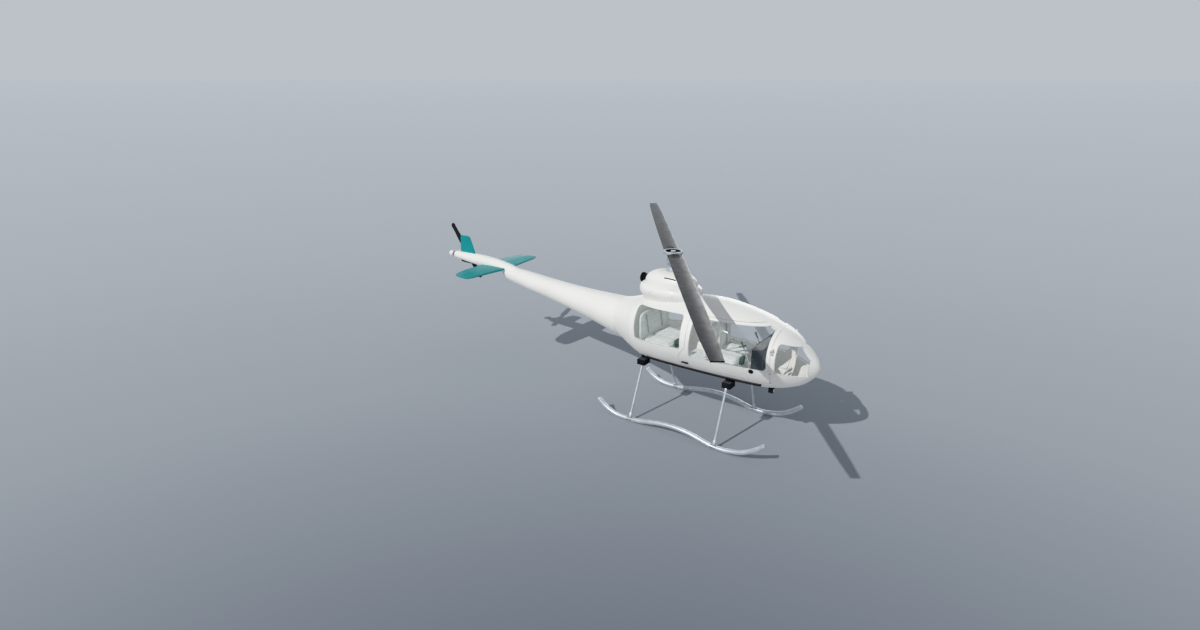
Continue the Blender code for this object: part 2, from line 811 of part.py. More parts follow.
def cowl_shell(name, rows, cap_top):
    bm = loft([cowl_ring(*row) for row in rows], cap_start=False, cap_end=cap_top)
    bmesh.ops.recalc_face_normals(bm, faces=bm.faces)
    bm.normal_update()
    widest = max(bm.verts, key=lambda v: v.co.x)
    if widest.normal.x < 0:
        bmesh.ops.reverse_faces(bm, faces=bm.faces)
    thing = to_object(name, bm, "body_white", closed=False)
    solidify(thing, COWL_WALL)
    return thing


def pod_solid(name, grow):
    """The pod as a closed block, a little larger, to cut what rests on it."""
    bm = pod_surface(-grow)
    rim = [edge for edge in bm.edges if edge.is_boundary]
    bmesh.ops.contextual_create(bm, geom=rim)
    return to_object(name, bm)


def cowl_and_engine(pod_cut):
    band = cowl_shell("cowl_lower", COWL_BAND_ROWS, False)
    dome = cowl_shell("cowl_upper", dome_rows(), True)
    boolean(band, pod_cut)
    pipe_cut = cylinder("pipe_cut", (0, EXHAUST_FRONT_Y - EXHAUST_FLOOR, EXHAUST_Z),
                        (0, 0, EXHAUST_Z), EXHAUST_RADIUS + TOUCH_GAP)
    lip_y = EXHAUST_REAR_Y - EXHAUST_LIP_LENGTH - TOUCH_GAP
    lip_cut = cylinder("lip_cut", (0, lip_y, EXHAUST_Z), (0, 0, EXHAUST_Z),
                       EXHAUST_LIP_RADIUS + TOUCH_GAP)
    for shell in (band, dome):
        boolean(shell, pipe_cut)
    boolean(band, lip_cut)
    boolean(dome, upright("mast_hole", DOME_BASE_Z, ROTOR_Z, MAST_HOLE_RADIUS, y=MAST_Y))
    size_x, size_y, size_z = ENGINE_SIZE
    engine = box("engine",
                 (-size_x / 2, ENGINE_CENTRE_Y - size_y / 2, ENGINE_TOP_Z - size_z),
                 (size_x / 2, ENGINE_CENTRE_Y + size_y / 2, ENGINE_TOP_Z), "engine")
    boolean(engine, pod_cut)


def exhaust():
    """A short pipe out of the dome's rear with a rounded lip, its end open."""
    front = (0, EXHAUST_FRONT_Y, EXHAUST_Z)
    rear = (0, EXHAUST_REAR_Y, EXHAUST_Z)
    pipe = cylinder("exhaust_pipe", front, rear, EXHAUST_RADIUS, finish="black")
    lip = cylinder("lip", (0, EXHAUST_REAR_Y - EXHAUST_LIP_LENGTH, EXHAUST_Z), rear,
                   EXHAUST_LIP_RADIUS)
    join(pipe, [lip])
    boolean(pipe, cylinder("pipe_bore", (0, EXHAUST_FRONT_Y + EXHAUST_FLOOR, EXHAUST_Z),
                           (0, 0, EXHAUST_Z), EXHAUST_RADIUS - EXHAUST_WALL))


def section(chord, thickness):
    """Points of an aerofoil section, its round leading edge at + along the first axis."""
    return [(chord * x, thickness / 2 * z) for x, z in SECTION]


def mast():
    """The shaft, with the turning disc and the two pitch links that hang from the hub."""
    level = ROTOR_Z
    shaft = upright("rotor_mast", ENGINE_TOP_Z + TOUCH_GAP - level, HUB_BOTTOM - TOUCH_GAP,
                    MAST_RADIUS, finish="silver")
    disc_low, disc_high = (z - level for z in MAST_DISC_Z)
    disc = upright("disc", disc_low, disc_high, MAST_DISC_RADIUS)
    middle = (disc_low + disc_high) / 2
    links = [upright("link", middle, HUB_BOTTOM - TOUCH_GAP, LINK_RADIUS, 12, y=y)
             for y in (LINK_OFFSET, -LINK_OFFSET)]
    join(shaft, [disc] + links)
    return shaft


def hub():
    """A cup with a cap over the mast, a bar across it and a flat grip face for each blade."""
    cup = upright("rotor_hub", HUB_BOTTOM, HUB_TOP, HUB_RADIUS, HUB_SIDES, "silver")
    length, width, height = GRIP_SIZE
    grips = []
    for side in (1, -1):
        ends = sorted((side * HUB_RADIUS, side * (HUB_RADIUS - length)))
        grips.append(box("grip", (ends[0], -width / 2, -height / 2),
                         (ends[1], width / 2, height / 2)))
    join(cup, grips)
    cut(cup, upright("cup_hollow", HUB_FLOOR_TOP, HUB_TOP * 2, HUB_INNER_RADIUS, HUB_SIDES))
    cap = upright("cap", HUB_BOTTOM, HUB_TOP, HUB_CAP_RADIUS)
    reach = (HUB_INNER_RADIUS + HUB_RADIUS) / 2
    bar = cylinder("bar", (0, -reach, 0), (0, reach, 0), HUB_BAR_RADIUS, 12)
    join(cup, [cap, bar])
    return cup


def main_rotor():
    """Every turning piece has its origin on the mast's axis, at the blades' level."""
    turns = [(mast(), 0.0), (hub(), 0.0)]
    for number, turn in ((1, 0.0), (2, math.pi)):
        rings = [[(distance, shift + x, z) for x, z in section(chord, thickness)]
                 for distance, chord, thickness, shift in BLADE_ROWS]
        blade = to_object(f"rotor_blade_{number}", loft(rings), "blade_grey")
        turns.append((blade, turn))
    for thing, turn in turns:
        thing.location = (0, MAST_Y, ROTOR_Z)
        thing.rotation_euler = (0.0, 0.0, ROTOR_HEADING + turn)


def swashplate():
    """The ring on top of the dome that stands still round the mast."""
    dome_top = DOME_BASE_Z + DOME_HEIGHT * DOME_LEVELS[-1]
    plate = cylinder("swashplate", (0, MAST_Y, dome_top + TOUCH_GAP),
                     (0, MAST_Y, SWASHPLATE_TOP_Z), SWASHPLATE_RADII[0], finish="silver",
                     end_radius=SWASHPLATE_RADII[1])
    boolean(plate, bpy.data.objects["mast_hole"])


def tail_rotor(boom_cut):
    rings = []
    for distance, chord in TAIL_BLADE_ROWS:
        rings.append([(z, y, distance) for y, z in section(chord, TAIL_BLADE_THICKNESS)])
    rotor = cylinder("tail_rotor", (-TAIL_HUB_HALF, 0, 0), (TAIL_HUB_HALF, 0, 0),
                     TAIL_HUB_RADIUS, finish="black")
    blades = []
    for turn in (0.0, math.pi):
        blade = to_object("blade", loft(rings))
        blade.data.transform(Matrix.Rotation(TAIL_ROTOR_TILT - math.pi / 2 + turn, 4, "X"))
        blades.append(blade)
    join(rotor, blades)
    rotor.location = TAIL_ROTOR_CENTRE
    x, y, z = TAIL_ROTOR_CENTRE
    half = TAIL_GEARBOX_HALF
    gearbox = box("tail_gearbox", (TAIL_GEARBOX_X[0], y - half, z - half),
                  (TAIL_GEARBOX_X[1], y + half, z + half), "silver")
    shaft = cylinder("shaft", (TAIL_SHAFT_START_X, y, z), (x - TAIL_HUB_HALF - TOUCH_GAP, y, z),
                     TAIL_SHAFT_RADIUS)
    join(gearbox, [shaft])
    boolean(gearbox, boom_cut)


def tail_surfaces(boom_cut):
    for side in (1, -1):
        rings = []
        for out, lead, trail, thickness in STABILISER_ROWS:
            middle = (trail + lead) / 2
            rings.append([(side * out, middle - y, STABILISER_Z + z)
                          for y, z in section(trail - lead, thickness)])
        surface = to_object(side_name("stabiliser", side), loft(rings), "teal")
        boolean(surface, boom_cut)
    for name, rows in (("tail_fin", FIN_ROWS), ("ventral_fin", VENTRAL_FIN_ROWS)):
        rings = []
        for z, lead, trail, thickness in rows:
            middle = (trail + lead) / 2
            rings.append([(x, middle - y, z) for y, x in section(trail - lead, thickness)])
        boolean(to_object(name, loft(rings), "teal"), boom_cut)


def bar_along(name, points, radius, finish=None, shares=None):
    """A round bar through the points, with a share of the full radius at each."""
    curve = bpy.data.curves.new(name, "CURVE")
    curve.dimensions = "3D"
    curve.bevel_depth = radius
    curve.bevel_resolution = 2
    curve.use_fill_caps = True
    spline = curve.splines.new("POLY")
    spline.points.add(len(points) - 1)
    for i, (target, point) in enumerate(zip(spline.points, points)):
        target.co = (*point, 1.0)
        target.radius = shares[i] if shares else 1.0
    source = bpy.data.objects.new(name + "_curve", curve)
    PARTS.objects.link(source)
    graph = bpy.context.evaluated_depsgraph_get()
    mesh = bpy.data.meshes.new_from_object(source.evaluated_get(graph))
    bpy.data.objects.remove(source, do_unlink=True)
    bm = bmesh.new()
    bm.from_mesh(mesh)
    bmesh.ops.remove_doubles(bm, verts=bm.verts, dist=0.00005)
    return to_object(name, bm, finish)


def saddle(name, side, y, pod_cut):
    """Black block under the tub with a neck up to it and a round pad for a jack."""
    half = SADDLE_LENGTH / 2
    neck_half = SADDLE_NECK_LENGTH / 2
    block = side_box(name, side, SADDLE_X, (y - half, y + half), SADDLE_Z, "black")
    neck = side_box("neck", side, SADDLE_NECK_X, (y - neck_half, y + neck_half),
                    ((SADDLE_Z[0] + SADDLE_Z[1]) / 2, SADDLE_NECK_Z))
    pad = upright("pad", JACK_PAD_Z, SADDLE_Z[1], JACK_PAD_RADIUS, x=side * JACK_PAD_X, y=y)
    join(block, [neck, pad])
    boolean(block, pod_cut)


def strut(name, side, y, top_x, skid_cut):
    """A tube down to the skid, with a thicker foot, cut to sit on the round skid."""
    foot = Vector((side * SKID_X, y, smooth(SKID_ROWS, 1, y)))
    top = Vector((side * top_x, y, SADDLE_Z[0]))
    along = (top - foot).normalized()
    tube = cylinder(name, foot, top + along * STRUT_RADIUS, STRUT_RADIUS, STRUT_SIDES, "silver")
    sleeve = cylinder("sleeve", foot, foot + along * (SKID_RADIUS + FOOT_LENGTH), FOOT_RADIUS,
                      STRUT_SIDES)
    join(tube, [sleeve])
    boolean(tube, skid_cut)
    boolean(tube, box(name + "_top", (-FAR, y - SADDLE_LENGTH, SADDLE_Z[0] - TOUCH_GAP),
                      (FAR, y + SADDLE_LENGTH, FAR)))


def landing_gear(pod_cut):
    first, last = SKID_ROWS[0][0], SKID_ROWS[-1][0]
    for side in (1, -1):
        points = []
        for k in range(SKID_STATIONS + 1):
            y = first + (last - first) * k / SKID_STATIONS
            points.append((side * SKID_X, y, smooth(SKID_ROWS, 1, y)))
        bar_along(side_name("skid", side), points, SKID_RADIUS, "silver")
        skid_cut = bar_along(side_name("skid_cut", side), points, SKID_RADIUS + TOUCH_GAP)
        for place, y, top_x in STRUTS:
            saddle(side_name(f"saddle_{place}", side), side, y, pod_cut)
            strut(side_name(f"strut_{place}", side), side, y, top_x, skid_cut)


def belly_rails(pod_cut):
    for side in (1, -1):
        points = [(side * pod_half_width(y, BELLY_RAIL_Z), y, BELLY_RAIL_Z)
                  for y, _ in BELLY_RAIL_ROWS]
        rail = bar_along(side_name("belly_rail", side), points, BELLY_RAIL_RADIUS, "black",
                         [share for _, share in BELLY_RAIL_ROWS])
        boolean(rail, pod_cut)


def inside_wall(name, y_range, z_range, finish, wall_cut, pod_block):
    """A flat plate across the cabin, trimmed to the inside of its walls."""
    plate = box(name, (-OUTSIDE_X, y_range[0], z_range[0]), (OUTSIDE_X, y_range[1], z_range[1]),
                finish)
    boolean(plate, pod_block, "INTERSECT")
    boolean(plate, wall_cut)


def cabin_inside(wall_cut, pod_block):
    inside_wall("cabin_floor", FLOOR_Y, FLOOR_Z, "floor_grey", wall_cut, pod_block)
    inside_wall("rear_bulkhead", BULKHEAD_Y, (0.0, FAR), "seat", wall_cut, pod_block)
    base_z = (FLOOR_Z[1] + TOUCH_GAP, SEAT_BASE_TOP_Z)
    for side in (1, -1):
        side_box(side_name("front_seat_base", side), side, FRONT_SEAT_BASE_X, FRONT_SEAT_BASE_Y,
                 base_z, "seat")
        prism(side_name("front_seat", side), FRONT_SEAT_OUTLINE, side * FRONT_SEAT_X[0],
              side * FRONT_SEAT_X[1], "seat")
    half = REAR_SEAT_BASE_HALF_WIDTH
    side_box("rear_seat_base", 1, (-half, half), REAR_SEAT_BASE_Y, base_z, "seat")
    half = REAR_SEAT_HALF_WIDTH
    prism("rear_seat", REAR_SEAT_OUTLINE, -half, half, "seat")
    half = CONSOLE_HALF_WIDTH
    prism("instrument_console", CONSOLE_OUTLINE, -half, half, "console")


def small_items(pod_cut):
    lamp = box("nose_lamp", *NOSE_LAMP, "black", NOSE_LAMP_BEVEL)
    boolean(lamp, pod_cut)
    low, high = DOOR_HANDLE
    for side in (1, -1):
        handle = side_box(side_name("door_handle", side), side, (low[0], high[0]),
                          (low[1], high[1]), (low[2], high[2]), "black")
        boolean(handle, pod_cut)


clear_scene()
PARTS = new_collection("helicopter")
CUTTERS = new_collection("cutters")

doors(pod_panels())
panes()
pod_clear = pod_solid("pod_clear", TOUCH_GAP)
tail_boom()
cowl_and_engine(pod_clear)
exhaust()
boom_clear = to_object("boom_clear", tube_surface(TAIL_TUBE_ROWS, TAIL_TUBE_SIDES, TOUCH_GAP))
tail_surfaces(boom_clear)
main_rotor()
swashplate()
tail_rotor(boom_clear)
landing_gear(pod_clear)
belly_rails(pod_clear)
cabin_inside(skin("wall_clear", WALL + TOUCH_GAP), pod_solid("pod_block", -0.002))
small_items(pod_clear)
for hand in (1, -1):
    hang([side_name(base, hand) for base in ("door", "door_glass", "door_handle")],
         side_name("door_hinge", hand), Vector((hand * HINGE_X, HINGE_Y, sum(HINGE_HEIGHTS) / 2)))
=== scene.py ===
"""The looks of a light helicopter on skids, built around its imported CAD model.

Metres, +Z up. The nose points along -Y and the starboard side is -X.
"""

import math

import bmesh
import bpy
import numpy as np
from mathutils import Matrix, Vector
from mathutils.bvhtree import BVHTree
from mathutils.interpolate import poly_3d_calc


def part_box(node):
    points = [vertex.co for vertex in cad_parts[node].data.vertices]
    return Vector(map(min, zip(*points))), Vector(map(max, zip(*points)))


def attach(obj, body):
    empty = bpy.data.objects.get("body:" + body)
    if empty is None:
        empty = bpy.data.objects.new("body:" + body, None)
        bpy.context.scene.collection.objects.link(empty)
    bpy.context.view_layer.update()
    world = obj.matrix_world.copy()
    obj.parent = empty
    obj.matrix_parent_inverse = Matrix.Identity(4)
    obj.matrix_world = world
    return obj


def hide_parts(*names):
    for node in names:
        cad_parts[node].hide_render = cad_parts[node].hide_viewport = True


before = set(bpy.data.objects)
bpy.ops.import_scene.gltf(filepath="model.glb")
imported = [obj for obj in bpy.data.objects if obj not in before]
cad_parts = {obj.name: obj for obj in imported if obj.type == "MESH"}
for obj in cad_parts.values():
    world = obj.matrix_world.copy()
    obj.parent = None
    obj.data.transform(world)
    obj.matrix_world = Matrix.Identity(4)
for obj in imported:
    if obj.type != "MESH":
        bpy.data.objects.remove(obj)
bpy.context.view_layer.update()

# The camera that took the photograph
CAMERA_PLACE = (-11.117, -7.977, 6.600)
CAMERA_LOOK = (0.7633, 0.5518, -0.3361)
CAMERA_LENS = 20.266
CAMERA_SENSOR = 36.0

# Lamps far away: name, direction they shine from, energy, softness in degrees, shadows, colour
SUNS = (
    ("sun", (-1.167, 0.270, 1.000), 2.70, 0.5, True, (1.0, 0.985, 0.955)),
    ("fill", (-0.750, -0.600, 0.250), 0.35, 60.0, True, (1.0, 1.0, 1.0)),
    ("bounce", (-0.750, -0.300, -0.550), 0.95, 60.0, False, (1.0, 1.0, 1.0)),
    ("inside", (0.700, 0.550, -0.300), 1.12, 60.0, False, (1.0, 1.0, 1.0)),
)
# A wide card that only shows in glossy surfaces
GLOSS_CARD_FROM = (0.960, 0.080, 0.260)
GLOSS_CARD_DISTANCE = 30.0
GLOSS_CARD_SIZE = (16.0, 12.0)
GLOSS_CARD_POWER = 2500.0
WORLD_COLOUR = (0.543, 0.573, 0.611, 1.0)

FLOOR_RADIUS = 900.0
# The middle of the floor's painted shade, darkest under the camera's place, and the distance at
# which it is half way to pale
FLOOR_SHADE_MIDDLE = (-11.117, -7.977, 0.0)
FLOOR_FADE = 15.0
# Floor colours with painted shade, darker near the camera's place: share of the way to pale, then
# its colour
FLOOR_SHADES = (
    (0.290, 0.170, 0.191, 0.224),
    (0.324, 0.196, 0.217, 0.249),
    (0.423, 0.270, 0.292, 0.325),
    (0.488, 0.318, 0.341, 0.372),
    (0.657, 0.388, 0.412, 0.442),
    (0.926, 0.452, 0.477, 0.508),
    (1.000, 0.472, 0.498, 0.531),
)

SIDES = (1, -1)
# Degrees at which an edge between two faces looks sharp, and at which it is the rim of a rod
SHARP_ANGLE = 38.0
ROUND_ANGLE = 80.0
RIM_ANGLE = 60.0
COAT_ROUGHNESS = 0.12
CORNER_STEPS = 8
SECTION_POINTS = 12

SEAM = 0.0020
DOOR_GAP = 0.006
WALL = 0.040
# How far a panel's shell runs past its joints, and past its window, before it is cut
PANEL_MARGIN = 0.050
WINDOW_MARGIN = 0.100

# Cabin pod, nose to tail: y, top, bottom, half width, height of the widest line
POD_ROWS = (
    (-4.751, 1.704, 1.686, 0.010, 1.695),
    (-4.742, 1.730, 1.655, 0.040, 1.693),
    (-4.716, 1.800, 1.583, 0.098, 1.700),
    (-4.640, 1.893, 1.478, 0.196, 1.718),
    (-4.506, 2.010, 1.350, 0.325, 1.760),
    (-4.310, 2.155, 1.247, 0.465, 1.810),
    (-4.119, 2.275, 1.180, 0.565, 1.850),
    (-3.830, 2.405, 1.118, 0.645, 1.895),
    (-3.400, 2.527, 1.088, 0.705, 1.905),
    (-2.764, 2.618, 1.086, 0.755, 1.880),
    (-1.989, 2.567, 1.084, 0.761, 1.850),
    (-1.550, 2.500, 1.082, 0.735, 1.845),
    (-1.293, 2.432, 1.098, 0.692, 1.845),
    (-1.050, 2.365, 1.165, 0.610, 1.860),
    (-0.828, 2.298, 1.270, 0.515, 1.865),
    (-0.690, 2.262, 1.352, 0.456, 1.845),
    (-0.584, 2.240, 1.404, 0.420, 1.822),
)
POD_SIDES = 96
POD_EXPONENT_TOP = 2.05
POD_EXPONENT_BOTTOM = 1.88
POD_STEP = 0.055

# Panel joints of the pod, in side view
NOSE_JOINT_Y = -4.026
REAR_JOINT_Y = -1.050
POD_END_Y = -0.586
SILL_Z = 1.360
HEAD_Z = 2.420
ROOF_REAR_Z = 2.330
ROOF_STRIP_X = 0.150
SIDE_PANEL_INNER_X = 0.020
SIDE_PANEL_FRONT_Y = -2.700
ROOF_CORNER_Y = -2.446
FAR = 3.000
POD_FRONT_FAR_Y = -5.200
OUTSIDE_X = 1.200

# Outlines in side view: y, z, corner radius
DOOR_OUTLINE = (
    (-4.020, 1.366, 0.060),
    (-4.020, 2.414, 0.030),
    (-2.440, 2.414, 0.060),
    (-2.430, 1.800, 0.080),
    (-2.270, 1.580, 0.080),
    (-2.270, 1.366, 0.060),
)
DOOR_SPACE_DROP = 0.100
DOOR_WINDOW = (
    (-3.975, 1.640, 0.110),
    (-3.958, 2.380, 0.030),
    (-2.520, 2.380, 0.070),
    (-2.491, 1.606, 0.060),
)
REAR_WINDOW = (
    (-2.324, 1.728, 0.060),
    (-2.308, 2.372, 0.070),
    (-1.201, 2.322, 0.070),
    (-1.260, 1.690, 0.060),
)
NOSE_WINDOW = (
    (-4.613, 1.562, 0.030),
    (-4.608, 1.876, 0.040),
    (-4.414, 2.078, 0.050),
    (-4.102, 2.170, 0.040),
    (-4.100, 1.622, 0.040),
)
DOOR_WINDOW_INNER_X = 0.190
NOSE_POST_X = 0.060
REAR_WINDOW_INNER_X = 0.100
# Windows: name, outline, nearest that they come to the middle
WINDOWS = (
    ("door", DOOR_WINDOW, DOOR_WINDOW_INNER_X),
    ("rear", REAR_WINDOW, REAR_WINDOW_INNER_X),
    ("nose", NOSE_WINDOW, NOSE_POST_X),
)
GLASS_DEPTH = 0.005
GLASS_THICKNESS = 0.005
GLASS_EDGE_GAP = 0.0005
SEAL_DEPTH = 0.008
SEAL_THICKNESS = 0.020
SEAL_MARGIN = 0.0008
BEAD_DEPTH = 0.0010
BEAD_THICKNESS = 0.0036
BEAD_WIDTH = 0.0080
BELLY_RAIL_RADIUS = 0.026
RAIL_STANDOFF = 0.012
RAIL_STEPS = 48
# Black caps on each door and on the tub: y, z
DOOR_CAP = (-3.700, 1.592)
TUB_CAP = (-3.400, 1.250)
REAR_SCREW_HEIGHTS = (1.260, 1.330, 1.440, 1.560, 1.680, 1.800, 1.920, 2.040, 2.160, 2.270)
# Lines of flush screws beside the panel joints: y, heights
SCREW_LINES = (
    (-4.050, (1.240, 1.300, 1.420, 1.530, 1.900, 2.020, 2.240)),
    (-1.075, REAR_SCREW_HEIGHTS),
    (-1.025, REAR_SCREW_HEIGHTS),
    (-0.610, (1.460, 1.580, 1.700, 1.820, 1.940, 2.060, 2.160)),
)

# Instrument console in side view: y, z
CONSOLE_HALF_WIDTH = 0.190
CONSOLE_BASE = ((-3.720, 1.302), (-3.720, 1.885), (-3.512, 1.832), (-3.512, 1.302))
CONSOLE_PANEL = ((-3.735, 1.875), (-3.885, 2.130), (-3.865, 2.185), (-3.500, 1.830),
                 (-3.508, 1.812))
CONSOLE_HOOD = ((-3.888, 2.140), (-3.872, 2.196), (-3.812, 2.168), (-3.818, 2.156),
                (-3.862, 2.176), (-3.874, 2.134))
# Dials: distance down the slope, radius, places across, where the first needle points
DIALS = (
    (0.080, 0.034, (-0.132, -0.044, 0.044, 0.132), 60.0),
    (0.170, 0.034, (-0.132, -0.044, 0.044, 0.132), -20.0),
    (0.250, 0.023, (-0.150, -0.090, -0.030, 0.030, 0.090, 0.150), 95.0),
)
# Cyclic stick, bottom to top: y, z
STICK_PATH = ((-3.560, 1.302), (-3.545, 1.480), (-3.500, 1.680), (-3.420, 1.860), (-3.385, 1.930))
CONTROL_X = 0.310
CABIN_FLOOR_Z = 1.300
COLLECTIVE_X = -0.036
# Collective lever: y, z, then the ends of its grip
COLLECTIVE_PATH = ((-2.820, 1.585), (-2.950, 1.640), (-3.120, 1.720), (-3.240, 1.775))
COLLECTIVE_GRIP = ((-3.200, 1.757), (-3.335, 1.819))
PEDAL_PLACES = (0.170, 0.300)
PEDAL_FOOT_Y = -4.020

# Cushions: how they are stuffed, then their form, channels and piping
PAD_PRESSURE = 4.0
PAD_STEPS = 20
PAD_REACH = 0.026
PAD_PULL = 0.04
PAD_ROUNDING = 5.0
PAD_CROWN = 0.012
CHANNEL_WIDTH = 0.011
CHANNEL_DEPTH = 0.014
PIPING_RADIUS = 0.0042
STRAP_HALF_WIDTH = 0.024
STRAP_THICKNESS = 0.0025
SEAT_PAD_HEIGHT = 0.120
SEAT_BACK_DEPTH = 0.105
# Belts: middle, half width, the seat they lie on
BELTS = (
    (-0.310, 0.215, "front_seat_right"),
    (0.310, 0.215, "front_seat_left"),
    (-0.265, 0.240, "rear_seat"),
    (0.265, 0.240, "rear_seat"),
)
# Pouches on the starboard side: name, x, y of the back, height of the bottom
POUCH_HALF_WIDTH = 0.074
POUCH_DEPTH = 0.064
POUCH_HEIGHT = 0.160
POUCHES = (
    ("front", -0.310, -3.364, 1.548),
    ("rear", -0.300, -1.984, 1.562),
)

# Door hinges
HINGE_Y = -4.023
HINGE_X = 0.612
HINGE_HEIGHTS = (1.650, 2.050)
HINGE_PIN_RADIUS = 0.006
HINGE_BARREL_RADIUS = 0.014
HINGE_BARREL_LENGTH = 0.050
HINGE_STRAP_REACH = 0.085
HINGE_STRAP_Y = (0.007, 0.015)
HINGE_STRAP_INSET_Z = 0.008
HINGE_EAR_THICKNESS = 0.010
HINGE_EAR_GAP = 0.002
HINGE_EAR_RADIUS = 0.012
HINGE_EAR_Y = (-0.040, -0.0055)
HINGE_PIN_OVERRUN = 0.006

# Tail boom and tail tube: y, centre height, radius
BOOM_ROWS = (
    (-0.5837, 1.820, 0.418),
    (-0.250, 1.860, 0.376),
    (0.102, 1.901, 0.333),
    (0.868, 1.993, 0.262),
    (1.680, 2.090, 0.216),
    (2.109, 2.142, 0.198),
    (2.518, 2.191, 0.173),
    (2.740, 2.218, 0.130),
    (2.830, 2.229, 0.070),
)
TAIL_TUBE_ROWS = (
    (2.250, 2.215, 0.110),
    (2.600, 2.285, 0.124),
    (3.112, 2.350, 0.134),
    (3.680, 2.376, 0.132),
    (4.180, 2.390, 0.106),
    (4.400, 2.395, 0.093),
    (4.450, 2.396, 0.084),
    (4.468, 2.397, 0.062),
)
TAIL_NECK = (4.440, 4.560, 2.398, 0.052)
TAIL_KNOB = (4.597, 2.400, 0.071)

# Engine cowl: z, y at the rear, y at the front, half width
COWL_BAND_ROWS = (
    (2.280, -1.110, -2.225, 0.345),
    (2.440, -1.085, -2.250, 0.368),
    (2.520, -1.040, -2.295, 0.412),
    (2.600, -1.018, -2.316, 0.433),
    (2.670, -1.036, -2.298, 0.417),
    (2.712, -1.075, -2.260, 0.376),
    (2.7325, -1.120, -2.215, 0.330),
)
DOME_BASE_Z = 2.733
DOME_HEIGHT = 0.267
DOME_REAR_Y = -1.124
DOME_FRONT_Y = -2.211
DOME_HALF_WIDTH = 0.325
DOME_EXPONENT = 2.3
DOME_TOP_LEVEL = 0.982
COWL_SIDES = 72
DOME_STRIP_Z = 2.925
# Along the dome's strip and the cowl's row of screws: y of the first, step, count
DOME_STRIP = (-1.660, -0.260 / 12, 13)
COWL_SCREWS = (-1.250, -0.105, 9)
COWL_SCREWS_Z = 2.475
LATCH_PLACES = (-1.400, -1.950)
LATCH_Z = 2.600
COWL_EXPONENT = 2.4

EXHAUST_Z = 2.747
EXHAUST_RADIUS = 0.084
EXHAUST_LIP_RADIUS = 0.100
EXHAUST_LIP_LENGTH = 0.050
EXHAUST_FRONT_Y = -1.200
EXHAUST_REAR_Y = -1.000
EXHAUST_WALL = 0.008

# Main rotor
MAST_Y = -1.685
ROTOR_Z = 3.347
ROTOR_HEADING = math.radians(35.77)
HUB_RADIUS = 0.185
# Blade: distance from the mast, leading edge, trailing edge, thickness
BLADE_ROWS = (
    (0.186, 0.162, -0.138, 0.040),
    (1.500, 0.158, -0.136, 0.038),
    (2.500, 0.150, -0.132, 0.035),
    (3.300, 0.142, -0.129, 0.032),
    (4.200, 0.132, -0.121, 0.028),
    (4.600, 0.123, -0.114, 0.025),
    (4.900, 0.110, -0.103, 0.022),
    (5.150, 0.099, -0.093, 0.019),
    (5.248, 0.093, -0.086, 0.017),
)

# Tail rotor. Blade: distance from the hub, chord
TAIL_ROTOR_CENTRE = Vector((0.2435, 4.338, 2.4585))
TAIL_ROTOR_TILT = math.radians(53.8)
TAIL_BLADE_ROWS = (
    (0.050, 0.080),
    (0.160, 0.136),
    (0.690, 0.136),
    (0.745, 0.116),
    (0.768, 0.070),
)
TAIL_BLADE_THICKNESS = 0.016
TAIL_HUB_RADIUS = 0.058
TAIL_HUB_HALF = 0.035

# Stabiliser: distance out, y of its leading edge, y of its trailing edge, thickness
STABILISER_Z = 2.315
STABILISER_ROWS = (
    (0.080, 2.700, 3.432, 0.044),
    (0.700, 2.775, 3.420, 0.040),
    (1.000, 2.808, 3.362, 0.036),
    (1.130, 2.836, 3.278, 0.032),
    (1.172, 2.868, 3.190, 0.026),
    (1.188, 2.895, 3.130, 0.018),
)
# Fins: z, y of the leading edge, y of the trailing edge, thickness
FIN_ROWS = (
    (2.440, 3.742, 4.285, 0.038),
    (2.512, 3.772, 4.282, 0.036),
    (2.868, 3.920, 4.262, 0.028),
    (2.892, 3.938, 4.252, 0.024),
    (2.908, 3.985, 4.225, 0.014),
)
VENTRAL_FIN_ROWS = (
    (2.236, 3.960, 4.235, 0.014),
    (2.256, 3.885, 4.290, 0.022),
    (2.310, 3.860, 4.305, 0.032),
)

# Skid gear
SKID_X = 0.930
SKID_RADIUS = 0.0455
SKID_LOW_Z = 0.046
# Skid: y, centre height
SKID_ROWS = (
    (-4.205, 0.400),
    (-4.040, 0.266),
    (-3.850, 0.152),
    (-3.600, 0.074),
    (-3.400, SKID_LOW_Z),
    (-3.230, SKID_LOW_Z),
    (-2.880, 0.120),
    (-2.430, 0.182),
    (-1.950, 0.144),
    (-1.600, 0.074),
    (-1.350, SKID_LOW_Z),
    (-1.150, SKID_LOW_Z),
    (-0.950, 0.078),
    (-0.750, 0.165),
    (-0.574, 0.300),
)
# Struts and the blocks that carry them: name, y, distance out at the top
STRUTS = (
    ("front", -3.221, 0.535),
    ("rear", -1.352, 0.490),
)
STRUT_RADIUS = 0.023
FOOT_RADIUS = 0.034
FOOT_LENGTH = 0.080
SADDLE_X = (0.345, 0.560)
SADDLE_Z = (1.100, 1.205)
SADDLE_LENGTH = 0.170


def add(nodes, kind, **values):
    """A shader node with values on its inputs, which are named with _ for a space."""
    made = nodes.new("ShaderNode" + kind)
    for name, value in values.items():
        made.inputs[name.replace("_", " ")].default_value = value
    return made


def colour_mix(nodes, links, factor, low, high):
    mix = nodes.new("ShaderNodeMix")
    mix.data_type = "RGBA"
    links.new(factor, mix.inputs["Factor"])
    mix.inputs["A"].default_value = (*low, 1.0)
    mix.inputs["B"].default_value = (*high, 1.0)
    return mix.outputs["Result"]


def noise(nodes, links, scale, detail=3.0, stretch=(1.0, 1.0, 1.0)):
    mapping = add(nodes, "Mapping", Scale=stretch)
    links.new(add(nodes, "TexCoord").outputs["Object"], mapping.inputs["Vector"])
    texture = add(nodes, "TexNoise", Scale=scale, Detail=detail)
    links.new(mapping.outputs["Vector"], texture.inputs["Vector"])
    return texture.outputs["Fac"]


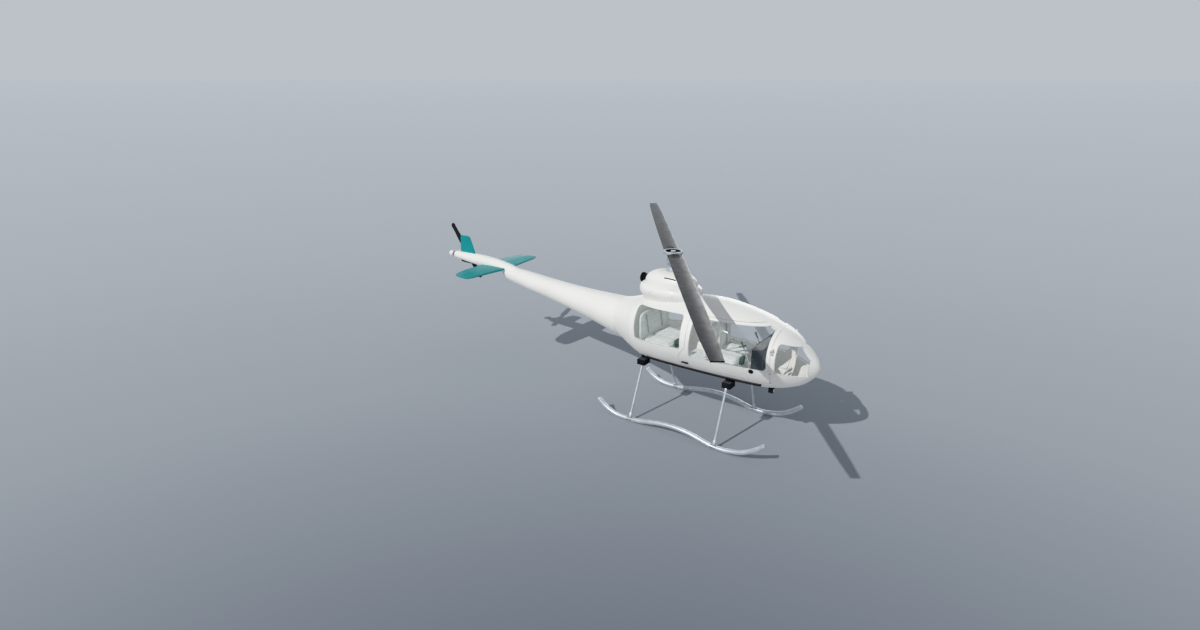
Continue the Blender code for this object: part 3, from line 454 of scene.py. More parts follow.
def spread(nodes, links, value, low, high):
    """Carry a noise value, mostly 0.3 to 0.7, over to a range of its own."""
    ramp = add(nodes, "MapRange", From_Min=0.3, From_Max=0.7, To_Min=low, To_Max=high)
    links.new(value, ramp.inputs["Value"])
    return ramp.outputs["Result"]


def emboss(nodes, links, height, **values):
    """Let a height stand out as fine relief in the finish."""
    bump = add(nodes, "Bump", **values)
    links.new(height, bump.inputs["Height"])
    links.new(bump.outputs["Normal"], nodes["Principled BSDF"].inputs["Normal"])


def surface(name, dark, light, roughness, metallic=0.0, coat=0.0, patch=3.0, grain=900.0,
            relief=0.02, stretch=(1.0, 1.0, 1.0), alpha=1.0):
    """A finish with cloudy colour, uneven gloss and a fine relief."""
    made = bpy.data.materials.new(name)
    made.use_nodes = True
    nodes, links = made.node_tree.nodes, made.node_tree.links
    shader = nodes["Principled BSDF"]
    cloud = noise(nodes, links, patch, 5.0, stretch)
    links.new(colour_mix(nodes, links, spread(nodes, links, cloud, 0.0, 1.0), dark, light),
              shader.inputs["Base Color"])
    wear = noise(nodes, links, patch * 4.0, 6.0, stretch)
    links.new(spread(nodes, links, wear, roughness * 0.85, roughness * 1.15),
              shader.inputs["Roughness"])
    shader.inputs["Metallic"].default_value = metallic
    shader.inputs["Coat Weight"].default_value = coat
    shader.inputs["Coat Roughness"].default_value = COAT_ROUGHNESS
    shader.inputs["Alpha"].default_value = alpha
    emboss(nodes, links, noise(nodes, links, grain, 2.0, stretch), Strength=relief,
           Distance=0.001)
    return made


def cloth(name, dark, light, thread):
    """A woven cover: two crossed sets of threads with a cloudy colour."""
    made = surface(name, dark, light, 0.85, patch=8.0)
    nodes, links = made.node_tree.nodes, made.node_tree.links
    nodes["Principled BSDF"].inputs["Sheen Weight"].default_value = 0.3
    place = add(nodes, "TexCoord")
    weave = add(nodes, "Math")
    weave.operation = "MULTIPLY"
    for factor, direction in zip(weave.inputs, ("X", "Y")):
        wave = add(nodes, "TexWave", Scale=1.0 / thread, Distortion=0.4)
        wave.bands_direction = direction
        links.new(place.outputs["Object"], wave.inputs["Vector"])
        links.new(wave.outputs["Fac"], factor)
    emboss(nodes, links, weave.outputs["Value"], Strength=0.35, Distance=0.001)
    return made


# Finishes: name, slot in the record, darker and lighter colour, roughness, other settings
FINISHES = (
    ("body_white", "body_white", (0.625, 0.620, 0.598), (0.665, 0.660, 0.638), 0.42,
     {"coat": 0.15, "patch": 1.6}),
    ("tail_teal", "tail_teal", (0.010, 0.205, 0.215), (0.014, 0.250, 0.260), 0.45,
     {"coat": 0.15}),
    ("blade_grey", "blade_grey", (0.016, 0.018, 0.020), (0.026, 0.028, 0.030), 0.42,
     {"patch": 2.0}),
    ("blade_dark", "blade_grey", (0.010, 0.011, 0.012), (0.020, 0.021, 0.023), 0.50,
     {"patch": 8.0}),
    ("tail_rotor_black", "tail_rotor_black", (0.008, 0.008, 0.010), (0.020, 0.020, 0.024), 0.45,
     {}),
    ("black_trim", "black_trim", (0.006, 0.006, 0.007), (0.018, 0.018, 0.020), 0.60,
     {"patch": 12.0, "relief": 0.10}),
    ("plate_dark", "black_trim", (0.055, 0.058, 0.062), (0.080, 0.084, 0.088), 0.55,
     {"patch": 14.0, "relief": 0.05}),
    ("seal_grey", "black_trim", (0.46, 0.47, 0.46), (0.54, 0.55, 0.54), 0.75, {"patch": 20.0}),
    ("bead_grey", "black_trim", (0.46, 0.47, 0.47), (0.54, 0.55, 0.55), 0.60, {"patch": 25.0}),
    ("soot", "black_trim", (0.004, 0.004, 0.004), (0.012, 0.011, 0.010), 0.85, {"patch": 9.0}),
    ("gear_silver", "gear_silver", (0.46, 0.49, 0.53), (0.58, 0.61, 0.64), 0.34,
     {"metallic": 0.55, "patch": 10.0}),
    ("clamp_steel", "gear_silver", (0.30, 0.31, 0.33), (0.42, 0.43, 0.45), 0.38,
     {"metallic": 0.7, "patch": 30.0}),
    ("plate_grey", "gear_silver", (0.13, 0.135, 0.14), (0.19, 0.195, 0.20), 0.50,
     {"patch": 14.0, "relief": 0.05}),
    ("engine", "engine", (0.18, 0.18, 0.18), (0.26, 0.26, 0.27), 0.50, {"metallic": 0.6}),
    ("cabin_trim", "cabin_trim", (0.66, 0.69, 0.68), (0.74, 0.77, 0.76), 0.75,
     {"patch": 6.0, "grain": 300.0, "relief": 0.15}),
    ("carpet", "cabin_trim", (0.60, 0.63, 0.62), (0.70, 0.73, 0.72), 0.95,
     {"patch": 40.0, "grain": 400.0, "relief": 0.6}),
    ("console_dark", "console_dark", (0.014, 0.018, 0.030), (0.026, 0.032, 0.048), 0.55,
     {"patch": 15.0, "grain": 600.0, "relief": 0.10}),
    ("panel_grey", "console_dark", (0.15, 0.155, 0.16), (0.20, 0.205, 0.21), 0.65,
     {"patch": 12.0, "grain": 500.0, "relief": 0.10}),
    ("dial_face", "console_dark", (0.10, 0.11, 0.12), (0.16, 0.17, 0.18), 0.25, {"patch": 60.0}),
    ("dial_mark", "console_dark", (0.70, 0.70, 0.66), (0.80, 0.80, 0.76), 0.50, {"patch": 50.0}),
    # The pouch flap's green is partly its own colour and partly painted highlight, lighter than
    # the pouch body below it.
    ("seat_green", "seat_cover", (0.006, 0.048, 0.033), (0.010, 0.068, 0.047), 0.70,
     {"patch": 14.0}),
    ("pouch_dark", "seat_cover", (0.004, 0.016, 0.012), (0.008, 0.024, 0.018), 0.75,
     {"patch": 14.0}),
    ("webbing", "seat_cover", (0.30, 0.31, 0.32), (0.38, 0.39, 0.40), 0.80,
     {"patch": 40.0, "grain": 700.0, "relief": 0.40, "stretch": (1.0, 1.0, 0.3)}),
    ("lamp_lens", "glass", (0.55, 0.57, 0.58), (0.66, 0.68, 0.69), 0.08,
     {"metallic": 0.3, "coat": 0.8, "patch": 40.0}),
    ("glass", "glass", (0.60, 0.66, 0.65), (0.66, 0.72, 0.71), 0.10,
     {"patch": 2.0, "relief": 0.0, "alpha": 0.045}),
)
FINISH = {name: surface(name, dark, light, roughness, **more)
          for name, _, dark, light, roughness, more in FINISHES}
SLOTS = {name: slot for name, slot, *_ in FINISHES}
# Woven finishes, both in the record's slot for seat covers: name, colours, thread in metres
for cloth_name, *cloth_look in (
        ("seat_cover", (0.54, 0.57, 0.56), (0.62, 0.65, 0.64), 0.004),
        ("seat_piping", (0.36, 0.39, 0.39), (0.44, 0.47, 0.47), 0.003)):
    FINISH[cloth_name] = cloth(cloth_name, *cloth_look)
    SLOTS[cloth_name] = "seat_cover"


def new_object(name, bm):
    mesh = bpy.data.meshes.new(name)
    bm.to_mesh(mesh)
    bm.free()
    thing = bpy.data.objects.new(name, mesh)
    bpy.context.scene.collection.objects.link(thing)
    return thing


def shade(thing, angle=SHARP_ANGLE):
    """Smooth, with sharp edges where faces meet at more than the angle."""
    bm = bmesh.new()
    bm.from_mesh(thing.data)
    limit = math.radians(angle)
    for face in bm.faces:
        face.smooth = True
    for edge in bm.edges:
        edge.smooth = len(edge.link_faces) == 2 and edge.calc_face_angle(0.0) < limit
    bm.to_mesh(thing.data)
    bm.free()


def finished(thing, finish, body, *stands_for):
    """Give a piece its material and its body, and hide the CAD nodes that it stands for."""
    thing.data.materials.clear()
    thing.data.materials.append(FINISH[finish])
    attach(thing, body)
    if stands_for:
        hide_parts(*stands_for)
    return thing


def piece(name, bm, finish, body, *stands_for, angle=SHARP_ANGLE):
    bmesh.ops.recalc_face_normals(bm, faces=bm.faces)
    thing = new_object(name, bm)
    shade(thing, angle)
    return finished(thing, finish, body, *stands_for)


def cutter(name, bm):
    bmesh.ops.recalc_face_normals(bm, faces=bm.faces)
    return new_object(name, bm)


def apply_modifiers(thing):
    graph = bpy.context.evaluated_depsgraph_get()
    mesh = bpy.data.meshes.new_from_object(thing.evaluated_get(graph))
    thing.modifiers.clear()
    thing.data = mesh


def carve(thing, *cuts):
    """Apply Booleans, each given as an operation and its cutter, and remove the cutters."""
    for operation, tool in cuts:
        modifier = thing.modifiers.new(operation.lower(), "BOOLEAN")
        modifier.operation = operation
        modifier.solver = "EXACT"
        modifier.object = tool
    apply_modifiers(thing)
    for _, tool in cuts:
        bpy.data.objects.remove(tool, do_unlink=True)


def loft(rings, closed=True, cap_start=True, cap_end=True):
    """Bridge equal rings of points into one skin, with flat caps where asked."""
    bm = bmesh.new()
    rows = [[bm.verts.new(point) for point in ring] for ring in rings]
    count = len(rows[0])
    for first, second in zip(rows, rows[1:]):
        for i in range(count if closed else count - 1):
            j = (i + 1) % count
            bm.faces.new((first[i], first[j], second[j], second[i]))
    if cap_start:
        bm.faces.new(rows[0])
    if cap_end:
        bm.faces.new(rows[-1])
    return bm


def moved(bm, matrix):
    bmesh.ops.transform(bm, matrix=matrix, verts=bm.verts)
    return bm


def softened(bm, width, edges=None):
    """Round off all the edges of a mesh, or the ones given."""
    bmesh.ops.bevel(bm, geom=edges or bm.edges[:], offset=width, segments=2, profile=0.5,
                    affect="EDGES")
    return bm


def box_mesh(low, high, bevel=0.0):
    bm = bmesh.new()
    bmesh.ops.create_cube(bm, size=1.0)
    bmesh.ops.scale(bm, vec=Vector(high) - Vector(low), verts=bm.verts)
    bmesh.ops.translate(bm, vec=(Vector(high) + Vector(low)) / 2, verts=bm.verts)
    return softened(bm, bevel) if bevel else bm


def side_box(side, x_range, y_range, z_range, bevel=0.0):
    xs = sorted(side * x for x in x_range)
    return box_mesh((xs[0], y_range[0], z_range[0]), (xs[1], y_range[1], z_range[1]), bevel)


def rod_mesh(start, end, radius, sides=24, bevel=0.0, end_radius=None):
    bm = bmesh.new()
    axis = Vector(end) - Vector(start)
    bmesh.ops.create_cone(bm, cap_ends=True, segments=sides, radius1=radius,
                          radius2=radius if end_radius is None else end_radius,
                          depth=axis.length)
    if bevel:
        rim = math.radians(RIM_ANGLE)
        softened(bm, bevel, [e for e in bm.edges if e.calc_face_angle(0.0) > rim])
    turn = axis.to_track_quat("Z", "Y").to_matrix().to_4x4()
    return moved(bm, Matrix.Translation((Vector(start) + Vector(end)) / 2) @ turn)


def merged(*meshes):
    """Several separate closed bodies in one mesh."""
    whole = bmesh.new()
    for bm in meshes:
        part = bpy.data.meshes.new("part")
        bm.to_mesh(part)
        bm.free()
        whole.from_mesh(part)
        bpy.data.meshes.remove(part)
    return whole


def turned(profile, sides=48, axis="Z", centre=(0, 0, 0)):
    """Turn a profile of radius, height about an axis through a centre."""
    bm = bmesh.new()
    rows = []
    for k in range(sides):
        angle = 2 * math.pi * k / sides
        row = []
        for radius, height in profile:
            x, y = radius * math.cos(angle), radius * math.sin(angle)
            place = {"X": (height, x, y), "Y": (x, height, y), "Z": (x, y, height)}[axis]
            row.append(bm.verts.new(Vector(place) + Vector(centre)))
        rows.append(row)
    for k in range(sides):
        first, second = rows[k], rows[(k + 1) % sides]
        for i in range(len(profile) - 1):
            bm.faces.new((first[i], first[i + 1], second[i + 1], second[i]))
    bmesh.ops.remove_doubles(bm, verts=bm.verts, dist=1e-5)
    return bm


def tube_mesh(points, radius, sides):
    """A round bar along points, with rounded ends."""
    points = [Vector(point) for point in points]
    start, end = points[0], points[-1]
    back, ahead = (start - points[1]).normalized(), (end - points[-2]).normalized()
    points[0] = start - back * radius * 0.35
    points[-1] = end - ahead * radius * 0.35
    points = [start, start - back * radius * 0.10, *points, end - ahead * radius * 0.10, end]
    radii = [radius * 0.45, radius * 0.80, *[radius] * (len(points) - 4), radius * 0.80,
             radius * 0.45]
    rings = []
    across = None
    for i, point in enumerate(points):
        ahead = (points[min(i + 1, len(points) - 1)] - points[max(i - 1, 0)]).normalized()
        if across is None:
            across = ahead.orthogonal().normalized()
        across = (across - ahead * across.dot(ahead)).normalized()
        other = ahead.cross(across)
        rings.append([point + (across * math.cos(a) + other * math.sin(a)) * radii[i]
                      for a in angles(sides)])
    return loft(rings)


def placed(bm, place, facing, turn=0.0):
    """Stand a mesh that was made along +Z on a place, facing outward."""
    upright = Vector(facing).to_track_quat("Z", "Y").to_matrix().to_4x4()
    return moved(bm, Matrix.Translation(place) @ upright @ Matrix.Rotation(turn, 4, "Z"))


def button(radius, height, edge, sides=32):
    """A low round disc with a rounded rim."""
    profile = [(0.0, -edge), (radius, -edge), (radius, height - edge)]
    for k in range(1, 5):
        turn = math.pi / 2 * k / 4
        profile.append((radius - edge + edge * math.cos(turn),
                        height - edge + edge * math.sin(turn)))
    return turned(profile + [(0.0, height)], sides)


def bolt(place, facing, size):
    """A washer under a six-sided head with a chamfer."""
    head = loft([[(radius * size * math.cos(a), radius * size * math.sin(a), height * size)
                  for a in angles(6)]
                 for radius, height in ((0.60, 0.10), (0.60, 0.42), (0.50, 0.52))])
    return placed(merged(button(size * 0.82, size * 0.14, size * 0.04, 20), head), place, facing)


def touch(tree, guess):
    """The nearest place on a piece's skin, and the way it faces there."""
    place, normal, _, _ = tree.find_nearest(Vector(guess))
    return place, normal


def tree_of(thing):
    bm = bmesh.new()
    bm.from_mesh(thing.data)
    tree = BVHTree.FromBMesh(bm)
    bm.free()
    return tree


def angles(count):
    return [2 * math.pi * (k + 0.5) / count for k in range(count)]


def power(value, exponent):
    return math.copysign(abs(value) ** exponent, value)


class Curve:
    """A smooth curve through the rows of a table, followed by distance along them."""

    def __init__(self, rows, measured=4):
        self.rows = np.array(rows, float)
        steps = np.linalg.norm(np.diff(self.rows[:, :measured], axis=0), axis=1)
        self.knots = np.concatenate([[0.0], np.cumsum(steps)])
        count = len(rows)
        system = np.eye(count)
        right = np.zeros_like(self.rows)
        for i in range(1, count - 1):
            before, after = steps[i - 1], steps[i]
            system[i, i - 1:i + 2] = before, 2 * (before + after), after
            right[i] = 6 * ((self.rows[i + 1] - self.rows[i]) / after
                            - (self.rows[i] - self.rows[i - 1]) / before)
        self.bends = np.linalg.solve(system, right)
        self.fine = np.linspace(0.0, self.knots[-1], 2000)
        self.firsts = np.array([self.at(t)[0] for t in self.fine])

    def at(self, t):
        i = int(np.clip(np.searchsorted(self.knots, t) - 1, 0, len(self.knots) - 2))
        span = self.knots[i + 1] - self.knots[i]
        a = (self.knots[i + 1] - t) / span
        b = 1 - a
        bend = ((a ** 3 - a) * self.bends[i] + (b ** 3 - b) * self.bends[i + 1]) * span ** 2 / 6
        return a * self.rows[i] + b * self.rows[i + 1] + bend

    def where(self, first):
        """The distance along the curve at which its first column has a value."""
        return float(np.interp(first, self.firsts, self.fine))

    def between(self, start, end, step):
        """Rows a step apart from one value of the first column to another."""
        low, high = self.where(start), self.where(end)
        count = max(2, math.ceil((high - low) / step))
        return [self.at(low + (high - low) * k / count) for k in range(count + 1)]

    def whole(self, step):
        return self.between(self.rows[0][0], self.rows[-1][0], step)


POD = Curve(POD_ROWS)


def pod_ring(row, side):
    """A section of the pod: the whole ring, or one side of it with a little overlap."""
    y, top, bottom, half, waist = row
    if side == 0:
        turns = angles(POD_SIDES)
    else:
        reach = math.radians(100.0)
        count = POD_SIDES * 5 // 9
        turns = [-reach + 2 * reach * k / count for k in range(count + 1)]
    ring = []
    for angle in turns:
        up = math.sin(angle)
        exponent = POD_EXPONENT_TOP if up > 0 else POD_EXPONENT_BOTTOM
        x = half * power(math.cos(angle), 2 / exponent)
        height = top - waist if up > 0 else waist - bottom
        ring.append(((side or 1) * x, y, waist + height * power(up, 2 / exponent)))
    return ring


def pod_point(y, z, side, sink=0.0):
    """The place on the pod's skin at a length and a height, and how it faces there."""
    _, top, bottom, half, waist = POD.at(POD.where(y))
    up = z > waist
    exponent = POD_EXPONENT_TOP if up else POD_EXPONENT_BOTTOM
    height = top - waist if up else waist - bottom
    share = min(1.0, abs(z - waist) / height)
    x = half * (1 - share ** exponent) ** (1 / exponent)
    place, normal = touch(POD_SKIN, (side * x, y, z))
    return place - normal * sink, normal


def pod_mesh(start, end, side=0, inset=0.0):
    rings = [pod_ring(row, side) for row in POD.between(start, end, POD_STEP)]
    nose = start <= POD_ROWS[0][0]
    bm = loft(rings, closed=side == 0, cap_start=nose and side == 0, cap_end=False)
    bmesh.ops.triangulate(bm, faces=[f for f in bm.faces if len(f.verts) == 4])
    bmesh.ops.recalc_face_normals(bm, faces=bm.faces)
    bm.normal_update()
    middle = Vector((0.0, (start + end) / 2, POD_ROWS[8][4]))
    outward = sum((f.calc_center_median() - middle).dot(f.normal) for f in bm.faces)
    if outward < 0:
        bmesh.ops.reverse_faces(bm, faces=bm.faces)
        bm.normal_update()
    for v, normal in [(v, v.normal.copy()) for v in bm.verts]:
        v.co -= normal * inset
    return bm


def pod_shell(name, start, end, wall, inset=0.0, side=0):
    thing = new_object(name, pod_mesh(start, end, side, inset))
    modifier = thing.modifiers.new("wall", "SOLIDIFY")
    modifier.thickness = wall
    modifier.offset = -1.0
    modifier.use_even_offset = True
    return thing


def skin_of(bm):
    """A search tree over a mesh, with the mesh's own smooth normals."""
    bmesh.ops.triangulate(bm, faces=bm.faces)
    bm.normal_update()
    places = [v.co.copy() for v in bm.verts]
    normals = [v.normal.copy() for v in bm.verts]
    bm.verts.index_update()
    faces = [[v.index for v in f.verts] for f in bm.faces]
    bm.free()
    return BVHTree.FromPolygons(places, faces), places, normals, faces


def shade_like_pod(thing):
    """Faces along the pod's surface take its smooth normals, and the rest stay flat."""
    mesh = thing.data
    for polygon in mesh.polygons:
        polygon.use_smooth = True
    normals = [None] * len(mesh.loops)
    for polygon in mesh.polygons:
        _, _, index, _ = POD_SKIN.find_nearest(polygon.center)
        guide = sum((POD_NORMALS[i] for i in POD_FACES[index]), Vector()).normalized()
        turn = polygon.normal.dot(guide)
        for loop in polygon.loop_indices:
            if abs(turn) < 0.90:
                normals[loop] = polygon.normal.copy()
                continue
            place = mesh.vertices[mesh.loops[loop].vertex_index].co
            found, _, index, _ = POD_SKIN.find_nearest(place)
            corners = POD_FACES[index]
            shares = poly_3d_calc([POD_PLACES[i] for i in corners], found)
            blend = sum((POD_NORMALS[i] * s for i, s in zip(corners, shares)), Vector())
            normals[loop] = blend.normalized() * math.copysign(1.0, turn)
    mesh.normals_split_custom_set(normals)


def rounded(outline, grow=0.0):
    """Corners with their radii, turned into points, all moved outward by grow."""
    points = [Vector(corner[:2]) for corner in outline]
    area = sum(a.x * b.y - b.x * a.y for a, b in zip(points, points[1:] + points[:1]))
    turn = 1.0 if area > 0 else -1.0
    result = []
    for i, corner in enumerate(outline):
        here = points[i]
        back = (points[i - 1] - here).normalized()
        ahead = (points[(i + 1) % len(points)] - here).normalized()
        half = math.acos(max(-1.0, min(1.0, back.dot(ahead)))) / 2
        bisector = (back + ahead).normalized()
        convex = (-back.x * ahead.y + back.y * ahead.x) * turn > 0
        radius = corner[2]
        centre = here + bisector * (radius / math.sin(half))
        start = here + back * (radius / math.tan(half))
        end = here + ahead * (radius / math.tan(half))
        first = math.atan2(start.y - centre.y, start.x - centre.x)
        last = math.atan2(end.y - centre.y, end.x - centre.x)
        sweep = (last - first + math.pi) % (2 * math.pi) - math.pi
        size = radius + grow if convex else radius - grow
        for k in range(CORNER_STEPS + 1):
            angle = first + sweep * k / CORNER_STEPS
            result.append((centre.x + size * math.cos(angle), centre.y + size * math.sin(angle)))
    return result


def side_prism(points, x_from, x_to):
    return loft([[(x, y, z) for y, z in points] for x in (x_from, x_to)])


def outline_tool(outline, side, inner_x, grow=0.0):
    return cutter("tool", side_prism(rounded(outline, grow), side * inner_x, side * OUTSIDE_X))


def region(y_from, y_to, z_from, z_to):
    return cutter("region", box_mesh((-FAR, y_from, z_from), (FAR, y_to, z_to)))


def door_space():
    return tuple((y, z - DOOR_SPACE_DROP if z < SILL_Z + DOOR_SPACE_DROP else z, radius)
                 for y, z, radius in DOOR_OUTLINE)


def side_panel_outline(grow=0.0):
    half_gap = SEAM / 2
    low = SILL_Z + half_gap - grow
    high = HEAD_Z - half_gap + grow
    rear = REAR_JOINT_Y - half_gap + grow
    return [(SIDE_PANEL_FRONT_Y, low), (SIDE_PANEL_FRONT_Y, high), (ROOF_CORNER_Y, high),
            (rear, ROOF_REAR_Z + grow), (rear, low)]


def side_name(base, side):
    return f"{base}_{'left' if side > 0 else 'right'}"


def pod_panel(thing, finish, body, node, *cuts):
    carve(thing, *cuts)
    shade_like_pod(thing)
    return finished(thing, finish, body, node)


def pod_panels():
    half = SEAM / 2
    nose_tip = POD_ROWS[0][0]
    nose = pod_shell("nose_skin", nose_tip, NOSE_JOINT_Y + PANEL_MARGIN, WALL)
    windows = [("DIFFERENCE", outline_tool(NOSE_WINDOW, side, NOSE_POST_X)) for side in SIDES]
    pod_panel(nose, "body_white", "airframe", "nose_shell",
              ("INTERSECT", region(POD_FRONT_FAR_Y, NOSE_JOINT_Y - half, 0, FAR)), *windows)
    middle = (NOSE_JOINT_Y - PANEL_MARGIN, REAR_JOINT_Y + PANEL_MARGIN)
    inside = (NOSE_JOINT_Y + half, REAR_JOINT_Y - half)
    tub = pod_shell("tub_skin", *middle, WALL)
    pod_panel(tub, "body_white", "airframe", "cabin_tub",
              ("INTERSECT", region(*inside, 0, SILL_Z - half)))
    roof_cuts = [("INTERSECT", region(*inside, SILL_Z + half, FAR))]
    for side in SIDES:
        roof_cuts.append(("DIFFERENCE",
                          outline_tool(door_space(), side, ROOF_STRIP_X - DOOR_GAP, DOOR_GAP)))
        grown = side_prism(side_panel_outline(SEAM), side * (SIDE_PANEL_INNER_X - SEAM),
                           side * OUTSIDE_X)
        roof_cuts.append(("DIFFERENCE", cutter("grown", grown)))
    pod_panel(pod_shell("roof_skin", *middle, WALL), "body_white", "airframe", "cabin_roof",
              *roof_cuts)
    fairing = pod_shell("fairing_skin", REAR_JOINT_Y - PANEL_MARGIN, POD_END_Y, WALL)
    pod_panel(fairing, "body_white", "airframe", "rear_fairing",
              ("INTERSECT", region(REAR_JOINT_Y + half, 0.0, 0, FAR)))
    for side in SIDES:
        panel = pod_shell(side_name("side_skin", side), SIDE_PANEL_FRONT_Y - PANEL_MARGIN,
                          REAR_JOINT_Y + PANEL_MARGIN, WALL, side=side)
        own = side_prism(side_panel_outline(), side * SIDE_PANEL_INNER_X, side * OUTSIDE_X)
        pod_panel(panel, "body_white", "airframe", side_name("side_panel", side),
                  ("INTERSECT", cutter("own", own)),
                  ("DIFFERENCE", outline_tool(door_space(), side, 0.0, DOOR_GAP)),
                  ("DIFFERENCE", outline_tool(REAR_WINDOW, side, REAR_WINDOW_INNER_X)))
        door = pod_shell(side_name("door_skin", side), DOOR_OUTLINE[0][0] - PANEL_MARGIN,
                         DOOR_OUTLINE[-1][0] + PANEL_MARGIN, WALL, side=side)
        pod_panel(door, "body_white", side_name("door", side), side_name("door", side),
                  ("INTERSECT", outline_tool(DOOR_OUTLINE, side, ROOF_STRIP_X)),
                  ("DIFFERENCE", outline_tool(DOOR_WINDOW, side, DOOR_WINDOW_INNER_X)))


def window_shells(label, thickness, depth):
    """A shell behind each window, cut to it later: window, side, body, shell and cut."""
    for window in WINDOWS:
        name, outline, inner_x = window
        low = min(y for y, _, _ in outline) - WINDOW_MARGIN
        high = max(y for y, _, _ in outline) + WINDOW_MARGIN
        for side in SIDES:
            shell = pod_shell(side_name(f"{name}_{label}", side), low, high, thickness, depth,
                              side)
            cut = outline_tool(outline, side, inner_x + GLASS_EDGE_GAP, -GLASS_EDGE_GAP)
            body = side_name("door", side) if name == "door" else "airframe"
            yield window, side, body, shell, ("INTERSECT", cut)


def panes():
    for window, side, body, pane, cut in window_shells("glass_pane", GLASS_THICKNESS,
                                                       GLASS_DEPTH):
        pod_panel(pane, "glass", body, side_name(window[0] + "_glass", side), cut)


def door_seals():
    """A soft strip that fills the gap round each door."""
    for side in SIDES:
        low = DOOR_OUTLINE[0][0] - WINDOW_MARGIN
        high = DOOR_OUTLINE[-1][0] + WINDOW_MARGIN
        seal = pod_shell(side_name("door_seal", side), low, high, SEAL_THICKNESS, SEAL_DEPTH,
                         side)
        carve(seal, ("INTERSECT", outline_tool(DOOR_OUTLINE, side, ROOF_STRIP_X - DOOR_GAP
                                               + SEAL_MARGIN, DOOR_GAP - SEAL_MARGIN)),
              ("DIFFERENCE", outline_tool(DOOR_OUTLINE, side, ROOF_STRIP_X - SEAL_MARGIN,
                                          SEAL_MARGIN)))
        shade_like_pod(seal)
        finished(seal, "seal_grey", "airframe")


def hinges():
    for side in SIDES:
        x = side * HINGE_X
        reach = (HINGE_X - HINGE_STRAP_REACH, HINGE_X)
        moving, fixed = [], []
        for height in HINGE_HEIGHTS:
            low = height - HINGE_BARREL_LENGTH / 2
            high = height + HINGE_BARREL_LENGTH / 2
            moving.append(rod_mesh((x, HINGE_Y, low), (x, HINGE_Y, high), HINGE_BARREL_RADIUS,
                                   bevel=0.0015))
            moving.append(side_box(side, reach, [HINGE_Y + y for y in HINGE_STRAP_Y],
                                   (low + HINGE_STRAP_INSET_Z, high - HINGE_STRAP_INSET_Z),
                                   0.001))
            for sign, level in ((-1, low), (1, high)):
                near = level + sign * HINGE_EAR_GAP
                levels = sorted((near, near + sign * HINGE_EAR_THICKNESS))
                fixed.append(side_box(side, (reach[0], HINGE_X + HINGE_EAR_RADIUS),
                                      [HINGE_Y + y for y in HINGE_EAR_Y], levels, 0.001))
                fixed.append(rod_mesh((x, HINGE_Y, levels[0]), (x, HINGE_Y, levels[1]),
                                      HINGE_EAR_RADIUS, bevel=0.001))
            overrun = HINGE_EAR_GAP + HINGE_PIN_OVERRUN
            fixed.append(rod_mesh((x, HINGE_Y, low - overrun), (x, HINGE_Y, high + overrun),
                                  HINGE_PIN_RADIUS, bevel=0.001))
        piece(side_name("hinge_barrels", side), merged(*moving), "body_white",
              side_name("door", side))
        piece(side_name("hinge_ears", side), merged(*fixed), "body_white", "airframe")


def round_loft(rows, sides, step):
    rings = []
    for y, z, radius in Curve(rows, 3).whole(step):
        rings.append([(radius * math.cos(a), y, z + radius * math.sin(a)) for a in angles(sides)])
    return loft(rings)


def tail():
    piece("boom_skin", round_loft(BOOM_ROWS, 80, 0.05), "body_white", "airframe", "tail_boom")
    piece("tail_tube_skin", round_loft(TAIL_TUBE_ROWS, 56, 0.05), "body_white", "airframe")
    knob_y, knob_z, knob_radius = TAIL_KNOB
    profile = [(knob_radius * power(math.sin(math.pi * k / 24), 0.8),
                -knob_radius * power(math.cos(math.pi * k / 24), 0.8)) for k in range(25)]
    knob = turned(profile, axis="Y", centre=(0, knob_y, knob_z))
    piece("tail_knob", knob, "body_white", "airframe")
    front, rear, height, radius = TAIL_NECK
    neck = rod_mesh((0, front, height), (0, rear, height), radius, 40)
    bolts = [bolt((radius * math.cos(a), 4.500, height + radius * math.sin(a)),
                  (math.cos(a), 0, math.sin(a)), 0.010) for a in angles(8)]
    piece("tail_neck", merged(neck, *bolts), "plate_grey", "airframe")


def section(lead, trail, thickness, shape):
    """A closed section from its leading to its trailing edge and back: along, up."""
    result = []
    for k in range(2 * SECTION_POINTS):
        share = (1 - math.cos(math.pi * k / SECTION_POINTS)) / 2
        height = thickness / 2 * shape(share)
        result.append((lead - (lead - trail) * share, height if k <= SECTION_POINTS else -height))
    return result


def lens(share):
    """Half thickness of a section that is evenly rounded from edge to edge."""
    return 0.12 + 0.88 * math.sin(math.pi * share) if 0 < share < 1 else 0.0


def slab(share):
    """Half thickness of a flat section with a blunt nose and a tapered tail."""
    nose = math.sqrt(max(0.0, 1 - (1 - min(share / 0.035, 1.0)) ** 2))
    return nose * max(0.10, min(1.0, (1 - share) / 0.45))


def straight_rows(rows, step):
    """Rows a step apart, straight between the rows of a table."""
    rows = np.array(rows, float)
    result = [rows[0]]
    for first, second in zip(rows, rows[1:]):
        count = max(1, round(abs(second[0] - first[0]) / step))
        result += [first + (second - first) * k / count for k in range(1, count + 1)]
    return result


def aerofoil(share):
    """Half thickness of a rounded section at a share of its chord, 1 at the thickest."""
    body = 2.96 * math.sqrt(share) - 1.26 * share - 3.51 * share ** 2 + 2.84 * share ** 3
    return max(0.04, body - 0.97 * share ** 4) if share > 0 else 0.0


